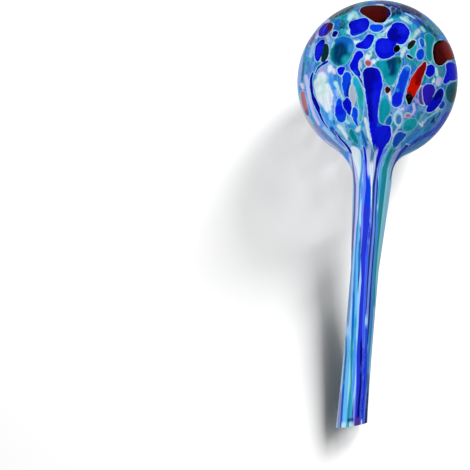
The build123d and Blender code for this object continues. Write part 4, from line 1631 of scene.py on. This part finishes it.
def body_piece(glass, tint, gaps):
    """The hollow body of pale glass, with what its material needs to know at each point."""
    body = lathed_body(glass)
    spots = np.zeros(len(body.data.vertices) * 3)
    body.data.vertices.foreach_get("co", spots)
    across, along, heights = spots.reshape(-1, 3).T
    across = across - axis_shift(heights)
    turns = np.arctan2(along, across)
    reach = np.hypot(across, along)
    level = heights - np.cos(turns) * reach * tip_slope * smooth(1 - heights / tip_fade)
    marks = nearest_rings(reach, level) * turn_steps + nearest_turns(turns)
    for kept, values in (("tint", tint), ("gap", gaps), ("grain", grain)):
        keep_values(body, kept, values[marks])
    return body


def nearest_turns(turns):
    """For each angle round the axis, the number of the nearest column of the surface's points."""
    turns = (turns - turn_angles[0]) % (2 * pi) + turn_angles[0]
    middles = (turn_angles + np.append(turn_angles[1:], turn_angles[0] + 2 * pi)) / 2
    return np.searchsorted(middles, turns) % turn_steps


# How finely the section's points are told apart
section_grain = 0.02 * mm


def nearest_rings(reach, level):
    """For each point of the section, the number of the ring that it is nearest to."""
    from mathutils.kdtree import KDTree

    tree = KDTree(ring_count)
    for number, (radius, height) in enumerate(zip(ring_radii, ring_heights)):
        tree.insert((radius, 0, height), number)
    tree.balance()
    grains = np.round(np.stack([reach, level], 1) / section_grain)
    pairs, back = np.unique(grains, axis=0, return_inverse=True)
    found = [tree.find((r * section_grain, 0, h * section_grain))[1] for r, h in pairs]
    return np.array(found)[back.reshape(-1)]


# Drawn glass: the heights over which fibres turn to clouds, and between which pale rims begin;
# the scales of fibres, clouds, threads and smears; where threads begin and are whole, and the
# share of them that the stem keeps; and how rough the smears are
cloud_heights = (globe_height - 25 * mm, globe_height + 25 * mm)
rim_heights = (globe_height - 58 * mm, globe_height - 34 * mm)
fibre_scale = 900
cloud_scale = 330
thread_scale = 1500
smear_scale = 60
thread_levels = (0.58, 0.72)
stem_threads = 0.3
smear_levels = (0.3, 0.7)
roughness_range = (0.05, 0.13)
cloud_height = 0.6


def drawn_glass_group():
    """How coloured glass looks once it is melted in and drawn out: fibres along the grain on
    the stem, soft clouds near the crown, and a thin edge that lets the light through."""
    shares = ("Edge", "Edge Width", "Edge Light", "Fibre Depth", "Pale Threads")
    inputs = {"Color": ["Tint", "Pale"], "Vector": ["Grain", "Place"], "Float": shares}
    outputs = {"Color": ["Color"], "Float": ["Roughness", "Height"]}
    tree, given = new_group("drawn glass", "ShaderNodeTree", inputs, outputs)
    up = height_of(tree, given["Place"])
    off_stem = eased_share(tree, up, *rim_heights)
    fibres = noise_node(tree, given["Grain"], fibre_scale, detail=3, roughness=0.6)
    clouds = noise_node(tree, given["Place"], cloud_scale, detail=4, distortion=0.6)
    texture = {0: eased_share(tree, up, *cloud_heights), 2: fibres, 3: clouds}
    texture = add_node(tree, "ShaderNodeMix", texture, data_type="FLOAT").outputs[0]
    swing = math_node(tree, "SUBTRACT", texture, 0.5)
    level = math_node(tree, "MULTIPLY_ADD", swing, given["Fibre Depth"], 1)
    shaded = {"Color": given["Tint"], "Value": level}
    shaded = add_node(tree, "ShaderNodeHueSaturation", shaded).outputs[0]
    fade = math_node(tree, "DIVIDE", given["Edge"], given["Edge Width"])
    rim = product(tree, rest_of(tree, eased_share(tree, fade, 0, 1)), given["Edge Light"], off_stem)
    threads = eased_share(tree, noise_node(tree, given["Grain"], thread_scale), *thread_levels)
    kept = math_node(tree, "MULTIPLY_ADD", off_stem, 1 - stem_threads, stem_threads)
    threads = product(tree, threads, given["Pale Threads"], kept)
    mixed = mixed_colour(tree, math_node(tree, "MAXIMUM", rim, threads), shaded, given["Pale"])
    smear = noise_node(tree, given["Place"], smear_scale, detail=3)
    rough = spread_share(tree, smear, *smear_levels, *roughness_range)
    height = math_node(tree, "MULTIPLY_ADD", clouds, cloud_height, smear)
    add_node(tree, "NodeGroupOutput", {"Color": mixed, "Roughness": rough, "Height": height})
    return tree


def read_value(tree, name):
    """The node that reads a piece's kept value."""
    return add_node(tree, "ShaderNodeAttribute", attribute_name=name).outputs


def drawn_look(tree, group, edge, inputs):
    """The shared look of drawn glass: its colour, roughness and height."""
    kept = {
        "Tint": read_value(tree, "tint")["Color"],
        "Grain": read_value(tree, "grain")["Vector"],
        "Place": own_place(tree),
        "Edge": read_value(tree, edge)["Fac"],
    }
    return add_node(tree, "ShaderNodeGroup", {**kept, **inputs}, node_tree=group).outputs


def new_material(name):
    """A material, its tree and its shader."""
    material = bpy.data.materials.new(name)
    material.use_nodes = True
    tree = material.node_tree
    return material, tree, tree.nodes["Principled BSDF"]


# How much of the light each skin of glass lets into the globe's shadow, and into the tip's
globe_pass = 0.91
tip_pass = 0.28
stem_shadow_top = 108 * mm
tip_fade_start = 2 * mm
tip_fade_end = 32 * mm


def pale_shadow(tree, shader):
    """Lets some of the lamps' light through the glass, least near the tip."""
    up = height_of(tree, own_place(tree))
    share = spread_share(tree, up, 0, stem_shadow_top, tip_pass, globe_pass)
    ending = rest_of(tree, eased_share(tree, up, tip_fade_start, tip_fade_end))
    share = math_node(tree, "MAXIMUM", share, product(tree, ending, globe_pass))
    shadow = add_node(tree, "ShaderNodeLightPath").outputs["Is Shadow Ray"]
    tree.links.new(rest_of(tree, product(tree, share, shadow)), shader.inputs["Alpha"])


# The gloss of all the glass, and how strong and deep its faint waviness is
glass_ior = 1.5
glass_specular = 0.005
waviness = 0.12
waviness_depth = 0.3 * mm


def gloss_skin(tree, shader, look, colour):
    """The shader's gloss, colour, roughness and faint waviness, from the shared look."""
    shader.inputs["IOR"].default_value = glass_ior
    shader.inputs["Specular IOR Level"].default_value = glass_specular
    pale_shadow(tree, shader)
    bump = {"Height": look["Height"], "Strength": waviness, "Distance": waviness_depth}
    bump = add_node(tree, "ShaderNodeBump", bump).outputs[0]
    wire(tree, shader, {"Base Color": colour, "Roughness": look["Roughness"], "Normal": bump})


# Each coloured glass: the shade of its thin edges, how wide and how pale they are, how
# strongly its fibres show, and how many pale threads run through it
glass_looks = {
    "cobalt": ("royal", 0.5, 0.55, 0.9, 0.08),
    "royal": ("sky", 0.6, 0.5, 0.9, 0.12),
    "teal": ("pale_aqua", 0.8, 0.45, 1.0, 0.05),
    "aqua": ("milk", 0.7, 0.4, 0.8, 0.15),
    "sky": ("milk", 0.6, 0.4, 0.7, 0.15),
    "opal": ("milk", 0.5, 0.3, 0.3, 0.2),
    "violet": ("lavender", 0.6, 0.4, 1.0, 0.2),
    "maroon": ("oxblood", 0.6, 0.5, 0.9, 0.0),
    "scarlet": ("scarlet", 0.5, 0.4, 0.7, 0.0),
    "black": ("bottle", 0.5, 0.6, 0.6, 0.0),
    "pink": ("lavender", 0.7, 0.5, 0.7, 0.2),
}


def chip_glass(name, group):
    """One coloured glass, as its chips and streaks show it."""
    pale_name, width, light, depth, threads = glass_looks[name]
    material, tree, shader = new_material(name + " glass")
    edge = {"Pale": (*linear(pale_name), 1), "Edge Width": width * mm, "Edge Light": light}
    inputs = {**edge, "Fibre Depth": depth, "Pale Threads": threads}
    look = drawn_look(tree, group, "edge", inputs)
    gloss_skin(tree, shader, look, look["Color"])
    return material


# The pale body's veins: the scale of the noise that each kind follows, the level it follows it
# at and how wide it is. Then how strongly they show, and where wandering ones take over
wandering_veins = (120, 0.5, 0.018)
running_veins = (800, 0.5, 0.03)
blue_veins = (1000, 0.42, 0.02)
pale_vein_strength = 0.22
blue_vein_strength = 0.35
vein_heights = (globe_height - 20 * mm, globe_height + 15 * mm)

# The pale line round each chip: how it wanders in colour and width, and how light it is
wander_scale = 500
line_widths = (0.4 * mm, 1.2 * mm)
light_scale = 170
light_levels = (0.36, 0.6)
line_lights = (0.4, 1)
body_fibres = 0.9
body_threads = 0.12


def vein_share(tree, vector, scale, level, width):
    """Thin wandering lines, where a soft noise passes through this level."""
    noise = noise_node(tree, vector, scale, distortion=1.2)
    off = math_node(tree, "ABSOLUTE", math_node(tree, "SUBTRACT", noise, level))
    return rest_of(tree, eased_share(tree, off, 0, width))


def veined(tree, colour):
    """Fine pale veins over a colour, which wander near the crown and run along the grain lower
    down, with a few blue ones between them."""
    place = own_place(tree)
    grain = read_value(tree, "grain")["Vector"]
    cloudy = eased_share(tree, height_of(tree, place), *vein_heights)
    drawn = rest_of(tree, cloudy)
    wandering = product(tree, vein_share(tree, place, *wandering_veins), cloudy)
    running = product(tree, vein_share(tree, grain, *running_veins), drawn)
    pale = product(tree, math_node(tree, "MAXIMUM", wandering, running), pale_vein_strength)
    blue = product(tree, vein_share(tree, grain, *blue_veins), drawn, blue_vein_strength)
    return mixed_colour(tree, pale, mixed_colour(tree, blue, colour, "denim"), "snow")


def pale_glass(group):
    """The body between the chips: cloudy pale glass, whitest in a thin line round each chip."""
    material, tree, shader = new_material("pale body glass")
    place = own_place(tree)
    wander = noise_node(tree, place, wander_scale)
    light = noise_node(tree, place, light_scale)
    inputs = {
        "Pale": mixed_colour(tree, wander, "milk", "pale_aqua"),
        "Edge Width": spread_share(tree, wander, *smear_levels, *line_widths),
        "Edge Light": spread_share(tree, light, *light_levels, *line_lights),
        "Fibre Depth": body_fibres,
        "Pale Threads": body_threads,
    }
    look = drawn_look(tree, group, "gap", inputs)
    gloss_skin(tree, shader, look, veined(tree, look["Color"]))
    return material


# How far short of some glasses' chips the body's pale lines begin, and how far off they reach
pale_ends = {"teal": 0.5 * mm, "aqua": 0.4 * mm, "sky": 0.4 * mm, "opal": 0.5 * mm}
widest_gap = 3 * mm


def blown_vessel():
    """The pale hollow body and, set into it, the plates of each coloured glass."""
    flecks = streak_flecks() + scattered_streaks()
    flecks += scattered_chips() + ribbon_flecks(front_ribbons) + chip_flecks(front_chips)
    fields, tints = glass_fields(flecks)
    pale = body_tint()
    paint_chips(tints)
    paint_stem([pale] + list(tints.values()))
    group = drawn_glass_group()
    lined = [field + pale_ends.get(glass, 0) for glass, field in fields.items()]
    gaps = np.clip(np.min(lined, axis=0), 0, widest_gap)
    body = body_piece(pale_glass(group), pale, gaps)
    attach(body, "root")
    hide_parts("clear_wall")
    pieces = [body]
    for glass, field in fields.items():
        piece = plate_piece(glass + "_chips", field, tints[glass])
        piece.data.materials.append(chip_glass(glass, group))
        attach(piece, "root")
        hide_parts(glass + "_glass")
        pieces.append(piece)
    return pieces


# The table that the globe lies on: a plane behind it, which touches the globe and the tip
floor_slope = np.arcsin((globe_radius - stem_radius) / globe_height)
floor_size = 1.6
floor_colour = 0.3


def floor_material():
    """A white table top that is seen from its front only and keeps the globe's shadow."""
    material, tree, shader = new_material("white table")
    plain = {"Base Color": (floor_colour, floor_colour, floor_colour, 1), "Roughness": 1}
    wire(tree, shader, plain)
    shader.inputs["Specular IOR Level"].default_value = 0
    clear = add_node(tree, "ShaderNodeBsdfTransparent").outputs[0]
    back = add_node(tree, "ShaderNodeNewGeometry").outputs["Backfacing"]
    mixed = add_node(tree, "ShaderNodeMixShader", {0: back, 1: shader.outputs[0], 2: clear})
    wire(tree, tree.nodes["Material Output"], {"Surface": mixed.outputs[0]})
    return material


def white_table():
    """The table top, as a stage behind the globe."""
    out = Vector((0, -cos(floor_slope), sin(floor_slope)))
    up = Vector((0, sin(floor_slope), cos(floor_slope)))
    side = up.cross(out)
    foot = globe_centre - out * globe_radius
    half = floor_size / 2
    ways = ((-1, -1), (1, -1), (1, 1), (-1, 1))
    mesh = bpy.data.meshes.new("table")
    mesh.from_pydata([foot + side * a * half + up * b * half for a, b in ways], [], [(0, 1, 2, 3)])
    if mesh.polygons[0].normal.dot(out) < 0:
        mesh.flip_normals()
    mesh.materials.append(floor_material())
    table = in_scene("table", mesh)
    table.visible_diffuse = False
    table.visible_glossy = False
    table.visible_shadow = False
    return table


# Each lamp: its direction from the globe, how far off it is, its size, watts and colour. The
# table's own lamp is near the key, so that the table is white round a clear shadow
white = (1, 1, 1)
cool_white = (0.93, 1.0, 1.1)
lamps = {
    "key": ((0.475, -0.44, 0.762), 0.9, 0.4, 2.1, cool_white),
    "front": ((-0.45, -0.88, -0.15), 1.0, 0.9, 6.4, cool_white),
    "table lamp": ((0.44, -0.44, 0.77), 2.0, 0.6, 255, white),
}
lamp_aim = Vector((0, 0, 0.6 * globe_height))
room_light = 0.38


def area_lamp(name, lit):
    """A square lamp that faces the globe and lights these objects only."""
    direction, distance, size, watts, colour = lamps[name]
    lamp = bpy.data.lights.new(name, "AREA")
    lamp.size = size
    lamp.energy = watts
    lamp.color = colour
    holder = in_scene(name, lamp)
    away = Vector(direction).normalized()
    holder.location = lamp_aim + away * distance
    holder.rotation_euler = away.to_track_quat("Z", "Y").to_euler()
    receivers = bpy.data.collections.new(name + " receivers")
    for piece in lit:
        receivers.objects.link(piece)
    holder.light_linking.receiver_collection = receivers
    holder.visible_glossy = False


def pale_room():
    """A world that is white where it is seen, and lights the globe more softly."""
    world = bpy.data.worlds.new("pale room")
    bpy.context.scene.world = world
    world.use_nodes = True
    tree = world.node_tree
    tree.nodes.clear()
    path = add_node(tree, "ShaderNodeLightPath").outputs
    seen = math_node(tree, "MAXIMUM", path["Is Camera Ray"], path["Is Glossy Ray"])
    seen = math_node(tree, "MAXIMUM", seen, path["Is Transmission Ray"])
    strength = math_node(tree, "MULTIPLY_ADD", seen, 1 - room_light, room_light)
    glow = add_node(tree, "ShaderNodeBackground", {"Strength": strength, "Color": (1, 1, 1, 1)})
    add_node(tree, "ShaderNodeOutputWorld", {"Surface": glow.outputs[0]})


def studio(vessel, table):
    """A soft key lamp from the upper right front, a fill from the front left, and a pale room."""
    area_lamp("key", vessel)
    area_lamp("front", vessel)
    area_lamp("table lamp", [table])
    pale_room()


def camera():
    """The photograph's camera."""
    lens = bpy.data.cameras.new("camera")
    lens.lens = view_lens
    lens.sensor_width = sensor_width
    lens.clip_start = 10 * mm
    holder = in_scene("camera", lens)
    turn = Matrix((camera_right, camera_up, -camera_forward)).transposed().to_4x4()
    holder.matrix_world = Matrix.Translation(camera_place) @ turn
    bpy.context.scene.camera = holder


vessel = blown_vessel()
studio(vessel, white_table())
camera()
bpy.context.scene.view_settings.view_transform = "Standard"
